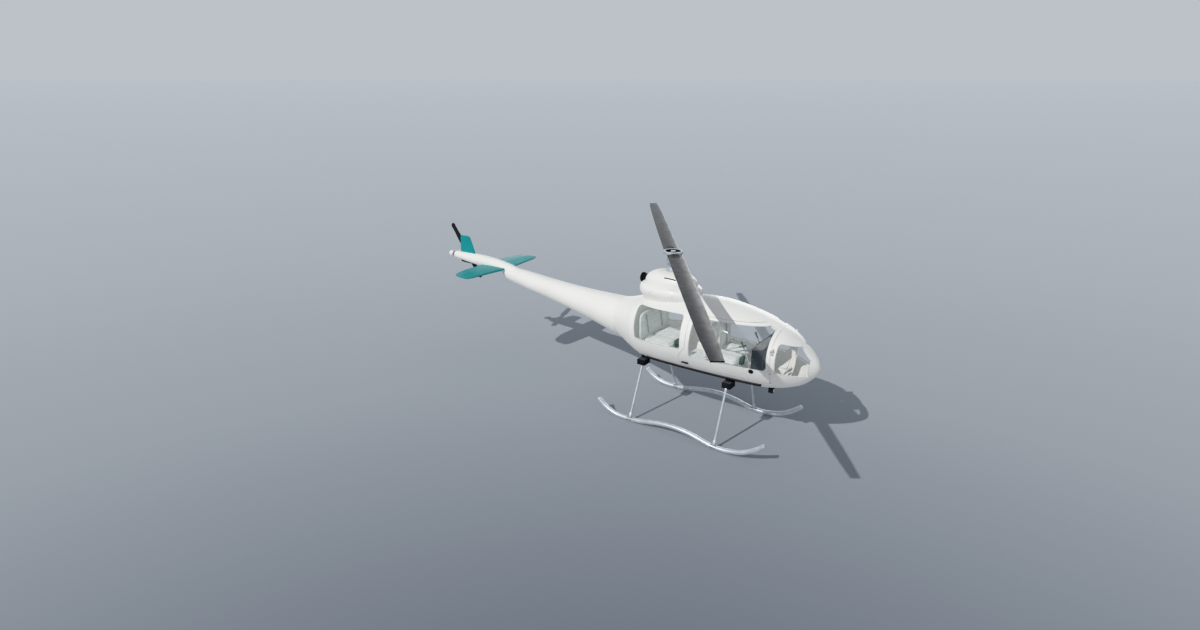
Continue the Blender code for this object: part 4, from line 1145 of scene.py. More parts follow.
def tail_surfaces():
    for side in SIDES:
        rings = []
        for out, lead, trail, thickness in straight_rows(STABILISER_ROWS, 0.04):
            rings.append([(side * out, y, STABILISER_Z + z)
                          for y, z in section(lead, trail, thickness, slab)])
        piece(side_name("stabiliser_skin", side), loft(rings), "tail_teal", "airframe",
              side_name("stabiliser", side))
    # The ventral fin's black finish is painted shade, standing for the shadow under the tail tube.
    for name, rows, finish in (("tail_fin", FIN_ROWS, "tail_teal"),
                               ("ventral_fin", VENTRAL_FIN_ROWS, "black_trim")):
        rings = []
        for z, lead, trail, thickness in straight_rows(rows, 0.025):
            rings.append([(x, y, z) for y, x in section(lead, trail, thickness, slab)])
        piece(name + "_skin", loft(rings), finish, "airframe", name)


def cowl_ring(z, rear, front, half):
    middle = (rear + front) / 2
    length = (rear - front) / 2
    return [(half * power(math.cos(a), 2 / COWL_EXPONENT),
             middle + length * power(math.sin(a), 2 / COWL_EXPONENT), z)
            for a in angles(COWL_SIDES)]


def dome_row(level):
    share = (1 - level ** DOME_EXPONENT) ** (1 / DOME_EXPONENT)
    middle = (DOME_REAR_Y + DOME_FRONT_Y) / 2
    length = (DOME_REAR_Y - DOME_FRONT_Y) / 2
    return (DOME_BASE_Z + DOME_HEIGHT * level, middle + length * share,
            middle - length * share, DOME_HALF_WIDTH * share)


def cowl():
    rows = Curve(COWL_BAND_ROWS).whole(0.02)
    band = piece("cowl_band_skin", loft([cowl_ring(*row) for row in rows]), "body_white",
                 "airframe", "cowl_lower", angle=60.0)
    levels = [DOME_TOP_LEVEL * math.sin(math.pi / 2 * k / 18) for k in range(19)]
    dome = piece("cowl_dome_skin", loft([cowl_ring(*dome_row(level)) for level in levels]),
                 "body_white", "airframe", "cowl_upper")
    dome, band = tree_of(dome), tree_of(band)
    for side in SIDES:
        points = []
        first, step, count = DOME_STRIP
        for k in range(count):
            place, normal = touch(dome, (side * 0.30, first + step * k, DOME_STRIP_Z))
            points.append(place - normal * 0.0050)
        piece(side_name("dome_strip", side), tube_mesh(points, 0.0120, 14), "black_trim",
              "airframe")
        latches, screws = [], []
        for y in LATCH_PLACES:
            place, facing = touch(band, (side * 0.60, y, LATCH_Z))
            plate = box_mesh((-0.016, -0.030, -0.002), (0.016, 0.030, 0.003), 0.0015)
            lever = box_mesh((-0.009, -0.020, 0.002), (0.009, 0.024, 0.007), 0.0022)
            latches.append(placed(merged(plate, lever), place, facing))
        first, step, count = COWL_SCREWS
        for k in range(count):
            place, facing = touch(band, (side * 0.60, first + step * k, COWL_SCREWS_Z))
            screws.append(placed(button(0.0060, 0.0018, 0.0010, 14), place, facing))
        piece(side_name("cowl_latches", side), merged(*latches), "body_white", "airframe")
        piece(side_name("cowl_screws", side), merged(*screws), "clamp_steel", "airframe")


def exhaust():
    inner = EXHAUST_RADIUS - EXHAUST_WALL
    lip_front = EXHAUST_REAR_Y - EXHAUST_LIP_LENGTH
    edge = 0.010
    profile = [(0.0, EXHAUST_FRONT_Y), (EXHAUST_RADIUS, EXHAUST_FRONT_Y),
               (EXHAUST_RADIUS, lip_front - edge / 2),
               (EXHAUST_LIP_RADIUS - edge, lip_front), (EXHAUST_LIP_RADIUS, lip_front + edge)]
    for k in range(9):
        turn = math.pi / 2 * k / 8
        profile.append((EXHAUST_LIP_RADIUS - edge + edge * math.cos(turn),
                        EXHAUST_REAR_Y - edge + edge * math.sin(turn)))
    profile += [(inner, EXHAUST_REAR_Y), (inner, EXHAUST_FRONT_Y + 0.02),
                (0.0, EXHAUST_FRONT_Y + 0.02)]
    piece("exhaust_skin", turned(profile, 64, "Y", (0, 0, EXHAUST_Z)), "soot", "airframe",
          "exhaust_pipe")


def on_rotor(bm, turn=0.0):
    """Carry a mesh made along +X from the mast's axis over to its blade's heading."""
    heading = Matrix.Rotation(ROTOR_HEADING + turn, 4, "Z")
    return moved(bm, Matrix.Translation((0, MAST_Y, ROTOR_Z)) @ heading)


def main_rotor():
    for number, turn in ((1, 0.0), (2, math.pi)):
        rings = []
        for out, lead, trail, thickness in straight_rows(BLADE_ROWS, 0.06):
            rings.append([(out, y, z) for y, z in section(lead, trail, thickness, lens)])
        piece(f"blade_skin_{number}", on_rotor(loft(rings), turn), "blade_grey", "main_rotor",
              f"rotor_blade_{number}")
        out, lead, trail, thickness = BLADE_ROWS[-1]
        tip = box_mesh((out - 0.012, trail, -thickness / 2 - 0.001),
                       (out + 0.007, lead, thickness / 2 + 0.001), 0.004)
        piece(f"blade_tip_{number}", on_rotor(tip, turn), "black_trim", "main_rotor")
        root_plates(number, turn)
    hub_details()


def root_plates(number, turn):
    """A pair of stiffening plates on each blade's root, with their bolts."""
    plates = []
    for sign in (1, -1):
        for reach, half, lift in ((0.470, 0.075, 0.0210), (0.360, 0.055, 0.0235)):
            outline = [(0.190, -half), (reach - half, -half), (reach, -half * 0.35),
                       (reach, half * 0.35), (reach - half, half), (0.190, half)]
            plates.append(loft([[(x, y + 0.012, sign * z) for x, y in outline]
                                for z in (0.010, lift)]))
        plates += [bolt((x, y + 0.012, sign * 0.0235), (0, 0, sign), 0.013)
                   for x in (0.225, 0.275, 0.325) for y in (-0.032, 0.032)]
    piece(f"blade_root_{number}", on_rotor(merged(*plates), turn), "blade_dark", "main_rotor")


def hub_details():
    """The dark lining of the hub's cup, the bolts in its rim, and the dark mast cap."""
    lining = turned([(0.0, -0.0250), (0.1490, -0.0250), (0.1490, 0.0330), (0.1460, 0.0330),
                     (0.1440, -0.0190), (0.0, -0.0190)], 56)
    piece("hub_lining", on_rotor(lining), "black_trim", "main_rotor")
    cap = turned([(0.0, 0.036), (0.0515, 0.036), (0.0515, -0.015), (0.0540, -0.015),
                  (0.0540, 0.0350), (0.0515, 0.0385), (0.0, 0.0385)], 40)
    nut = [bolt((0.036 * math.cos(a), 0.036 * math.sin(a), 0.0385), (0, 0, 1), 0.0028)
           for a in angles(6)]
    piece("mast_cap", on_rotor(merged(cap, *nut)), "plate_grey", "main_rotor")
    bolts = []
    for angle in [math.radians(side + step) for side in (90, 270) for step in range(-40, 41, 20)]:
        facing = Vector((math.cos(angle), math.sin(angle), 0.0))
        bolts.append(bolt(facing * (HUB_RADIUS - 0.0005), facing, 0.0130))
    piece("hub_bolts", on_rotor(merged(*bolts)), "clamp_steel", "main_rotor")


def tail_rotor():
    parts = [turned([(0.0, -TAIL_HUB_HALF), (TAIL_HUB_RADIUS - 0.004, -TAIL_HUB_HALF),
                     (TAIL_HUB_RADIUS, -TAIL_HUB_HALF + 0.004),
                     (TAIL_HUB_RADIUS, TAIL_HUB_HALF - 0.004),
                     (TAIL_HUB_RADIUS - 0.004, TAIL_HUB_HALF), (0.0, TAIL_HUB_HALF)],
                    axis="X")]
    for turn in (0.0, math.pi):
        rings = []
        for out, chord in Curve(TAIL_BLADE_ROWS, 1).whole(0.02):
            rings.append([(x, y, out) for y, x in
                          section(chord / 2, -chord / 2, TAIL_BLADE_THICKNESS, aerofoil)])
        parts.append(moved(loft(rings),
                           Matrix.Rotation(TAIL_ROTOR_TILT - math.pi / 2 + turn, 4, "X")))
    centre = Matrix.Translation(TAIL_ROTOR_CENTRE)
    piece("tail_rotor_skin", moved(merged(*parts), centre), "tail_rotor_black", "tail_rotor",
          "tail_rotor")
    fittings = [placed(merged(button(0.026, 0.010, 0.003, 28), button(0.014, 0.016, 0.002, 6)),
                       (TAIL_HUB_HALF, 0, 0), (1, 0, 0))]
    for angle in angles(4):
        place = (TAIL_HUB_HALF, 0.043 * math.cos(angle), 0.043 * math.sin(angle))
        fittings.append(bolt(place, (1, 0, 0), 0.011))
    for sign in (1, -1):
        along = Vector((0, math.cos(TAIL_ROTOR_TILT), math.sin(TAIL_ROTOR_TILT))) * sign
        fittings.append(rod_mesh(along * 0.052, along * 0.130, 0.017, 24, 0.003))
        for out in (0.150, 0.185):
            for face in (1, -1):
                fittings.append(bolt(along * out + Vector((face * 0.0075, 0, 0)), (face, 0, 0),
                                     0.009))
    piece("tail_rotor_fittings", moved(merged(*fittings), centre), "plate_grey", "tail_rotor")


def clamp_mesh(skid, side, y):
    """A band over the top of the skid, with a bolt through each of its four ears."""
    length, grip, wall = 0.110, math.radians(12.0), 0.005
    rings = []
    count = 18
    for k in range(5):
        here = y + length * (k / 4 - 0.5)
        z = max(SKID_LOW_Z, skid.at(skid.where(here))[1])
        turns = [-grip + (math.pi + 2 * grip) * i / count for i in range(count + 1)]
        outer = [(math.cos(a) * (SKID_RADIUS + wall), math.sin(a) * (SKID_RADIUS + wall))
                 for a in turns]
        inner = [(math.cos(a) * SKID_RADIUS, math.sin(a) * SKID_RADIUS) for a in turns]
        rings.append([(side * SKID_X + x, here, z + up) for x, up in outer + inner[::-1]])
    parts = [loft(rings)]
    for here in (y - 0.038, y + 0.038):
        z = skid.at(skid.where(here))[1]
        for out in (1, -1):
            place = (side * SKID_X + out * (SKID_RADIUS + wall), here, z + 0.004)
            parts.append(bolt(place, (out, 0, 0), 0.016))
    return merged(*parts)


def landing_gear():
    skid = Curve(SKID_ROWS, 2)
    for side in SIDES:
        points = [(side * SKID_X, y, max(z, SKID_LOW_Z)) for y, z in skid.whole(0.04)]
        piece(side_name("skid_skin", side), tube_mesh(points, SKID_RADIUS, 28), "gear_silver",
              "airframe", side_name("skid", side))
        for place, y, top_x in STRUTS:
            foot = Vector((side * SKID_X, y, skid.at(skid.where(y))[1]))
            top = Vector((side * top_x, y, SADDLE_Z[0]))
            along = (top - foot).normalized()
            ends = foot + along * (SKID_RADIUS + FOOT_LENGTH)
            collar = top - along * 0.055
            strut = merged(rod_mesh(foot, top + along * 0.006, STRUT_RADIUS, 28),
                           rod_mesh(foot, ends, FOOT_RADIUS, 28, 0.004),
                           rod_mesh(collar, top, STRUT_RADIUS + 0.006, 28, 0.003),
                           bolt(ends - along * 0.035 + Vector((0, -FOOT_RADIUS, 0)), (0, -1, 0),
                                0.014),
                           bolt(ends - along * 0.035 + Vector((0, FOOT_RADIUS, 0)), (0, 1, 0),
                                0.014))
            piece(side_name(f"strut_skin_{place}", side), strut, "gear_silver", "airframe",
                  side_name(f"strut_{place}", side))
            piece(side_name(f"skid_clamp_{place}", side), clamp_mesh(skid, side, y),
                  "clamp_steel", "airframe")
            saddle_details(place, side, y)


def saddle_details(place, side, y):
    """The plate on each black block, and the bolts in its sides."""
    half = SADDLE_LENGTH / 2
    plate = side_box(side, (0.418, SADDLE_X[1] - 0.022), (y - half + 0.008, y + half - 0.008),
                     (SADDLE_Z[1] - 0.002, SADDLE_Z[1] + 0.006), 0.003)
    bolts = [bolt((side * 0.510, y + step, SADDLE_Z[1] + 0.006), (0, 0, 1), 0.018)
             for step in (-0.055, 0.055)]
    piece(side_name(f"saddle_plate_{place}", side), merged(plate, *bolts), "plate_dark",
          "airframe")
    middle = sum(SADDLE_Z) / 2
    bolts = [bolt((side * SADDLE_X[1], y + step, middle), (side, 0, 0), 0.016)
             for step in (-0.050, 0.050)]
    bolts += [bolt((side * 0.450, y + end * half, middle), (0, end, 0), 0.016)
              for end in (-1, 1)]
    piece(side_name(f"saddle_bolts_{place}", side), merged(*bolts), "black_trim", "airframe")


def body_details():
    """Rails, caps, screws and the lamp's glass on the outside of the pod."""
    for side in SIDES:
        low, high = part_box(side_name("belly_rail", side))
        height = (low.z + high.z) / 2
        points = [pod_point(low.y + (high.y - low.y) * k / RAIL_STEPS, height, side,
                            -RAIL_STANDOFF)[0] for k in range(RAIL_STEPS + 1)]
        piece(side_name("belly_rail_skin", side), tube_mesh(points, BELLY_RAIL_RADIUS, 16),
              "black_trim", "airframe", side_name("belly_rail", side))
        place, facing = pod_point(*DOOR_CAP, side)
        cap = merged(button(0.046, 0.0060, 0.0030, 40), button(0.034, 0.0085, 0.0020, 32),
                     box_mesh((-0.020, -0.004, 0.0080), (0.020, 0.004, 0.0130), 0.0015))
        piece(side_name("door_cap", side), placed(cap, place, facing, 0.4), "black_trim",
              side_name("door", side))
        place, facing = pod_point(*TUB_CAP, side)
        cap = merged(button(0.025, 0.0050, 0.0025, 32), button(0.010, 0.0090, 0.0020, 20))
        piece(side_name("tub_cap", side), placed(cap, place, facing), "black_trim", "airframe")
        screws = []
        for y, levels in SCREW_LINES:
            for z in levels:
                place, facing = pod_point(y, z, side)
                screws.append(placed(button(0.0055, 0.0012, 0.0008, 14), place, facing))
        piece(side_name("joint_screws", side), merged(*screws), "clamp_steel", "airframe")
    low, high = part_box("nose_lamp")
    centre = ((low.x + high.x) / 2, low.y, low.z + 0.045)
    rim = turned([(0.034, -0.002), (0.041, -0.002), (0.041, 0.006), (0.038, 0.009),
                  (0.034, 0.006), (0.034, -0.002)], 40)
    piece("lamp_rim", placed(rim, centre, (0, -1, 0)), "clamp_steel", "airframe")
    lens_glass = turned([(0.0, -0.002), (0.0345, -0.002), (0.0345, 0.001), (0.024, 0.004),
                         (0.012, 0.0055), (0.0, 0.006)], 40)
    piece("lamp_glass", placed(lens_glass, centre, (0, -1, 0)), "lamp_lens", "airframe")


def window_beads():
    """The thin grey bead that holds each pane against its opening."""
    for window, side, body, bead, cut in window_shells("bead", BEAD_THICKNESS, BEAD_DEPTH):
        _, outline, inner_x = window
        inner = outline_tool(outline, side, inner_x + BEAD_WIDTH, -BEAD_WIDTH)
        carve(bead, cut, ("DIFFERENCE", inner))
        shade_like_pod(bead)
        finished(bead, "bead_grey", body)


def console():
    """The instrument console: a dark pedestal under a sloping grey panel with its dials."""
    half = CONSOLE_HALF_WIDTH
    base = softened(side_prism(CONSOLE_BASE, 0.008 - half, half - 0.008), 0.006)
    piece("console_base", base, "console_dark", "airframe", "instrument_console")
    panel = softened(side_prism(CONSOLE_PANEL, -half, half), 0.006)
    piece("console_panel", panel, "panel_grey", "airframe")
    hood = softened(side_prism(CONSOLE_HOOD, -half - 0.006, half + 0.006), 0.003)
    piece("console_hood", hood, "black_trim", "airframe")

    upper, lower = (Vector((0.0, *row)) for row in (CONSOLE_PANEL[2], CONSOLE_PANEL[3]))
    down = (lower - upper).normalized()
    facing = Vector((1, 0, 0)).cross(down) * -1.0
    if facing.z < 0:
        facing.negate()
    turn = Matrix((Vector((1, 0, 0)), -down, facing)).transposed().to_4x4()
    faces, bezels, marks, knobs = [], [], [], []

    def on_panel(bm, x, along, lift=0.0):
        place = upper + Vector((x, 0, 0)) + down * along + facing * lift
        return moved(bm, Matrix.Translation(place) @ turn)

    for along, radius, spots, reading in DIALS:
        for count, x in enumerate(spots):
            bezels.append(on_panel(turned(
                [(radius, -0.002), (radius + 0.005, -0.002), (radius + 0.005, 0.005),
                 (radius + 0.002, 0.007), (radius, 0.005), (radius, -0.002)],
                32), x, along))
            faces.append(on_panel(turned([(0.0, -0.001), (radius, -0.001), (radius, 0.002),
                                          (0.0, 0.002)], 32), x, along))
            for tick in range(10):
                angle = math.radians(-120 + 240 * tick / 9)
                mark = box_mesh((-0.0008, radius * 0.78, 0.0020), (0.0008, radius * 0.94, 0.0026))
                marks.append(on_panel(moved(mark, Matrix.Rotation(angle, 4, "Z")), x, along))
            needle = loft([[(-0.0018, -radius * 0.2, z), (0.0018, -radius * 0.2, z),
                            (0.0006, radius * 0.75, z), (-0.0006, radius * 0.75, z)]
                           for z in (0.0028, 0.0038)])
            angle = math.radians(reading - 37 * count)
            marks.append(on_panel(moved(needle, Matrix.Rotation(angle, 4, "Z")), x, along))
            knobs.append(on_panel(button(0.0035, 0.0050, 0.0010, 14), x, along))
    for along in (0.345, 0.405):
        bezels.append(on_panel(box_mesh((-0.085, -0.024, -0.002), (0.085, 0.024, 0.006), 0.002),
                               0.0, along))
        faces.append(on_panel(box_mesh((-0.045, -0.014, 0.004), (0.045, 0.014, 0.0075), 0.001),
                              0.0, along))
        for x in (-0.066, 0.066):
            knobs.append(on_panel(merged(button(0.012, 0.012, 0.002, 24),
                                         button(0.007, 0.020, 0.002, 20)), x, along, 0.005))
    for count in range(8):
        x = -0.154 + 0.044 * count
        if abs(x) > 0.095:
            for along in (0.340, 0.400):
                knobs.append(on_panel(merged(button(0.006, 0.005, 0.001, 16),
                                             rod_mesh((0, 0, 0.003), (0, 0.004, 0.018), 0.0022, 10,
                                                      end_radius=0.003)), x, along))
    piece("dial_faces", merged(*faces), "dial_face", "airframe")
    piece("dial_bezels", merged(*bezels), "black_trim", "airframe")
    piece("dial_marks", merged(*marks), "dial_mark", "airframe")
    piece("panel_knobs", merged(*knobs), "black_trim", "airframe")


def controls():
    """Cyclic sticks, a collective lever and the pedals."""
    sticks, grips, boots, pedals = [], [], [], []
    for side in SIDES:
        x = side * CONTROL_X
        path = Curve([(y, z) for y, z in STICK_PATH], 2)
        points = [(x, y, z) for y, z in (path.at(t) for t in np.linspace(0, path.knots[-1], 22))]
        sticks.append(tube_mesh(points, 0.011, 14))
        top = Vector(points[-1])
        lean = (top - Vector(points[-2])).normalized()
        grip = turned([(0.0, -0.060), (0.014, -0.060), (0.017, -0.050), (0.015, -0.025),
                       (0.017, 0.005), (0.019, 0.030), (0.021, 0.050), (0.018, 0.060),
                       (0.0, 0.063)], 24)
        grips.append(placed(grip, top, lean))
        grips.append(placed(button(0.006, 0.008, 0.002, 14), top + lean * 0.040
                            + Vector((0, 0.018, 0)), (0, 1, 0.2)))
        bellows = [(0.0, 0.0)] + [(0.058 - 0.004 * k + (0.004 if k % 2 else 0.0), 0.010 * k)
                                  for k in range(9)] + [(0.0, 0.085)]
        boots.append(turned(bellows, 28, "Z", (x, STICK_PATH[0][0], CABIN_FLOOR_Z + 0.0005)))
        for spot in PEDAL_PLACES:
            foot = (side * spot, PEDAL_FOOT_Y, CABIN_FLOOR_Z + 0.003)
            pad = (side * spot, -4.085, 1.415)
            pedals.append(rod_mesh(foot, pad, 0.010, 14))
            socket = (side * spot, PEDAL_FOOT_Y, CABIN_FLOOR_Z)
            pedals.append(rod_mesh(socket, (*socket[:2], CABIN_FLOOR_Z + 0.016), 0.026, 20,
                                   0.003))
            plate = merged(box_mesh((-0.038, -0.046, -0.004), (0.038, 0.046, 0.004), 0.003),
                           *[box_mesh((-0.034, y, 0.003), (0.034, y + 0.006, 0.007), 0.0015)
                             for y in (-0.036, -0.019, -0.002, 0.015, 0.032)])
            pedals.append(placed(plate, pad, (0, 0.82, 0.57)))
    lever = tube_mesh([(COLLECTIVE_X, *point) for point in COLLECTIVE_PATH], 0.012, 16)
    grips.append(rod_mesh(*[(COLLECTIVE_X, *point) for point in COLLECTIVE_GRIP], 0.019, 24,
                          0.004))
    piece("control_levers", merged(lever, *sticks), "gear_silver", "airframe")
    piece("control_grips", merged(*grips), "panel_grey", "airframe")
    piece("stick_boots", merged(*boots), "panel_grey", "airframe")
    piece("pedals", merged(*pedals), "clamp_steel", "airframe")


def pouches():
    """A dark pouch with a lighter green flap, strapped to the front of each starboard seat. The
    flap's green is partly painted highlight, for the light on the pouch's top.
    """
    half, depth, tall = POUCH_HALF_WIDTH, POUCH_DEPTH, POUCH_HEIGHT
    for name, x, y, z in POUCHES:
        body = cushion_mesh((x - half, y - depth, z), (x + half, y, z + tall), 0.0, 14)
        flap = cushion_mesh((x - half - 0.003, y - depth - 0.007, z + tall * 0.55),
                            (x + half + 0.003, y - depth * 0.2, z + tall + 0.006), 0.0, 12)
        for label, bm, finish in (("pouch", body, "pouch_dark"),
                                  ("pouch_flap", flap, "seat_green")):
            thing = piece(f"{label}_{name}", bm, finish, "airframe", angle=ROUND_ANGLE)
        buckle = box_mesh((x - 0.014, y - depth - 0.013, z + tall * 0.50),
                          (x + 0.014, y - depth - 0.003, z + tall * 0.66), 0.002)
        strap = box_mesh((x - 0.010, y - depth - 0.009, z + 0.004),
                         (x + 0.010, y - depth - 0.002, z + tall * 0.60), 0.001)
        piece(f"pouch_buckle_{name}", merged(buckle, strap), "black_trim", "airframe")


def dress(node, finish, bevel):
    """Keep a CAD node and give it its finish, with softened edges."""
    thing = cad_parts[node]
    thing.data.materials.clear()
    thing.data.materials.append(FINISH[finish])
    shade(thing)
    if bevel:
        modifier = thing.modifiers.new("edges", "BEVEL")
        modifier.width = bevel
        modifier.segments = 2
        modifier.limit_method = "ANGLE"
        modifier.angle_limit = math.radians(SHARP_ANGLE)
        modifier.harden_normals = True


# CAD nodes that stay as they are: finish, softened edge, nodes
KEPT = (
    ("gear_silver", 0.002, "rotor_mast"),
    ("gear_silver", 0.003, "rotor_hub", "swashplate"),
    ("gear_silver", 0.006, "tail_gearbox"),
    ("engine", 0.010, "engine"),
    ("black_trim", 0.006, "saddle_front_left", "saddle_front_right", "saddle_rear_left",
     "saddle_rear_right"),
    ("black_trim", 0.0, "nose_lamp"),
    ("black_trim", 0.003, "door_handle_left", "door_handle_right"),
    ("carpet", 0.0, "cabin_floor"),
    ("cabin_trim", 0.0, "rear_bulkhead"),
    ("cabin_trim", 0.006, "front_seat_base_left", "front_seat_base_right", "rear_seat_base"),
)


def cushion_mesh(low, high, crown, cells=24):
    """A closed pad: crowned on top, its sides pulled in between its corners."""
    low, high = Vector(low), Vector(high)
    centre, half = (low + high) / 2, (high - low) / 2
    bm = bmesh.new()
    bmesh.ops.create_cube(bm, size=2.0)
    bmesh.ops.subdivide_edges(bm, edges=bm.edges[:], cuts=cells, use_grid_fill=True)
    for v in bm.verts:
        sizes = [abs(c) for c in v.co]
        norm = sum(c ** PAD_ROUNDING for c in sizes) ** (1 / PAD_ROUNDING)
        x, y, z = (c * max(sizes) / norm for c in v.co)
        inward_x = 1 - PAD_PULL * (1 - y * y) * (1 - z * z)
        inward_y = 1 - PAD_PULL * (1 - x * x) * (1 - z * z)
        lift = crown * ((1 - x * x) * (1 - y * y) - 1) if z > 0 else 0.0
        v.co = (centre.x + half.x * x * inward_x, centre.y + half.y * y * inward_y,
                centre.z + half.z * z + lift * max(z, 0.0))
    return bm


def blown_up(name, half, voxel):
    """A pad of a half size, stuffed by cloth simulation from a slightly smaller form."""
    start = Vector(half) - Vector((0.010, 0.010, 0.014))
    thing = new_object(name, cushion_mesh(-start, start, PAD_CROWN))
    remesh = thing.modifiers.new("remesh", "REMESH")
    remesh.mode = "VOXEL"
    remesh.voxel_size = voxel
    apply_modifiers(thing)
    before = [v.co.copy() for v in thing.data.vertices]
    stuffing = thing.modifiers.new("stuffing", "CLOTH")
    stuffing.settings.quality = 4
    stuffing.settings.mass = 0.3
    stuffing.settings.use_pressure = True
    stuffing.settings.uniform_pressure_force = PAD_PRESSURE
    stuffing.settings.effector_weights.gravity = 0.0
    for step in range(1, PAD_STEPS + 1):
        bpy.context.scene.frame_set(step)
    apply_modifiers(thing)
    bpy.context.scene.frame_set(1)
    for v, place in zip(thing.data.vertices, before):
        move = v.co - place
        if move.length > PAD_REACH:
            v.co = place + move.normalized() * PAD_REACH
    bm = bmesh.new()
    bm.from_mesh(thing.data)
    bpy.data.objects.remove(thing, do_unlink=True)
    bmesh.ops.smooth_vert(bm, verts=bm.verts, factor=0.5, use_axis_x=True, use_axis_y=True,
                          use_axis_z=True)
    for axis in range(3):
        low = min(v.co[axis] for v in bm.verts)
        high = max(v.co[axis] for v in bm.verts)
        for v in bm.verts:
            v.co[axis] = ((v.co[axis] - low) / (high - low) * 2 - 1) * half[axis]
    return bm


def pad(name, shape, half, place, upright, channels, crossings, node=None):
    """Sew channels into a pad's face, edge it with piping and set it in place."""
    bm = shape.copy()
    for v in bm.verts:
        if v.co.z > 0:
            depth = 0.0
            for line in channels:
                depth += math.exp(-((v.co.x - line * half[0]) / CHANNEL_WIDTH) ** 2)
            for line in crossings:
                depth += math.exp(-((v.co.y - line * half[1]) / CHANNEL_WIDTH) ** 2)
            v.co.z -= CHANNEL_DEPTH * min(depth, 1.0) * min(1.0, v.co.z / (0.6 * half[2]))
    tree = BVHTree.FromBMesh(bm)
    edging = []
    for angle in angles(96):
        outward = Vector((math.cos(angle) * half[0], math.sin(angle) * half[1], 0)).normalized()
        found, normal, _, _ = tree.ray_cast(Vector((0, 0, half[2] * 0.45)), outward)
        edging.append(found + normal * 0.0008)
    rings = []
    up = Vector((0, 0, 1))
    for i, point in enumerate(edging):
        ahead = (edging[(i + 1) % len(edging)] - edging[i - 1]).normalized()
        side = ahead.cross(up).normalized()
        rings.append([point + (side * math.cos(a) + up * math.sin(a)) * PIPING_RADIUS
                      for a in angles(10)])
    piping = loft(rings + rings[:1], cap_start=False, cap_end=False)
    bmesh.ops.remove_doubles(piping, verts=piping.verts, dist=1e-5)
    matrix = Matrix.Translation(place)
    if upright:
        matrix = matrix @ Matrix.Rotation(math.pi / 2, 4, "X")
    thing = piece(name, moved(bm, matrix), "seat_cover", "airframe", *([node] if node else []),
                  angle=ROUND_ANGLE)
    smooth = thing.modifiers.new("smooth", "SUBSURF")
    smooth.levels = smooth.render_levels = 1
    apply_modifiers(thing)
    piece(name + "_piping", moved(piping, matrix), "seat_piping", "airframe", angle=ROUND_ANGLE)
    return thing


def seats():
    """The stuffed cushions: two front seats with a shape in common, and the rear bench."""
    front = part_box("front_seat_left")
    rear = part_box("rear_seat")
    cushions = []
    for label, (low, high), voxel, channels, nodes in (
            ("front", front, 0.012, (-0.40, 0.40), ("front_seat_left", "front_seat_right")),
            ("rear", rear, 0.015, (-0.70, -0.30, 0.30, 0.70), ("rear_seat",))):
        half = (high - low) / 2
        seat_half = (half.x, half.y - SEAT_BACK_DEPTH / 2 - 0.002, SEAT_PAD_HEIGHT / 2)
        back_half = (half.x, half.z, SEAT_BACK_DEPTH / 2)
        seat_shape = blown_up(label + "_seat_shape", seat_half, voxel)
        back_shape = blown_up(label + "_back_shape", back_half, voxel)
        for node in nodes:
            low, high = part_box(node)
            middle = (low + high) / 2
            place = (middle.x, low.y + seat_half[1], low.z + seat_half[2])
            cushions.append(pad(node + "_cushion", seat_shape, seat_half, place, False, channels,
                                (0.25,), node))
            place = (middle.x, high.y - back_half[2], middle.z)
            cushions.append(pad(node + "_backrest", back_shape, back_half, place, True, channels,
                                (0.10, 0.62)))
        seat_shape.free()
        back_shape.free()
    return cushions


def belts(cushions):
    """Lap belts and shoulder straps lying on the seats, with their buckles."""
    whole = bmesh.new()
    for thing in cushions:
        whole.from_mesh(thing.data)
    tree = BVHTree.FromBMesh(whole)
    whole.free()
    straps, buckles = [], []
    for centre, half, node in BELTS:
        low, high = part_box(node)
        front_of_back = high.y - SEAT_BACK_DEPTH
        lap = front_of_back - 0.075
        middle = low.z + SEAT_PAD_HEIGHT
        for sign in (1, -1):
            guide = [(centre + sign * half, lap + 0.030, middle + 0.03, (sign, 0, 0.4)),
                     (centre + sign * half * 0.75, lap + 0.010, middle + 0.05, (0, 0, 1)),
                     (centre + sign * half * 0.40, lap - 0.020, middle + 0.05, (0, 0, 1)),
                     (centre + sign * 0.022, lap - 0.035, middle + 0.05, (0, 0, 1))]
            straps.append(strap_mesh(tree, guide, Vector((0, 1, 0))))
        guide = [(centre - half * 0.35, front_of_back - 0.06, high.z - 0.030, (0, -1, 0.3)),
                 (centre - half * 0.32, front_of_back - 0.06, high.z - 0.150, (0, -1, 0)),
                 (centre - half * 0.20, front_of_back - 0.06, middle + 0.200, (0, -1, 0)),
                 (centre - half * 0.08, front_of_back - 0.06, middle + 0.070, (0, -1, 0.2)),
                 (centre - 0.010, lap - 0.020, middle + 0.050, (0, 0, 1))]
        straps.append(strap_mesh(tree, guide, Vector((1, 0, 0))))
        place, _ = touch(tree, (centre, lap - 0.035, middle + 0.02))
        buckle = merged(box_mesh((-0.030, -0.024, 0.002), (0.030, 0.024, 0.016), 0.004),
                        box_mesh((-0.010, -0.012, 0.014), (0.012, 0.012, 0.019), 0.002))
        buckles.append(placed(buckle, place, (0, 0, 1)))
    piece("seat_belts", merged(*straps), "webbing", "airframe", angle=50.0)
    piece("belt_buckles", merged(*buckles), "clamp_steel", "airframe")


def strap_mesh(tree, guide, across):
    """A flat strap laid on the cushions along a few guide points, each with its facing."""
    rows = Curve([(*row[:3], *row[3]) for row in guide], 3)
    rings = []
    for t in np.linspace(0.0, rows.knots[-1], 26):
        row = rows.at(t)
        outward = Vector(row[3:]).normalized()
        start = Vector(row[:3])
        found, _, _, _ = tree.ray_cast(start + outward * 0.05, -outward, 0.30)
        base = (found or start) + outward * STRAP_THICKNESS
        side = (across - outward * across.dot(outward)).normalized()
        edges = [base - side * STRAP_HALF_WIDTH, base + side * STRAP_HALF_WIDTH]
        rings.append(edges + [edge + outward * STRAP_THICKNESS for edge in edges[::-1]])
    return loft(rings)


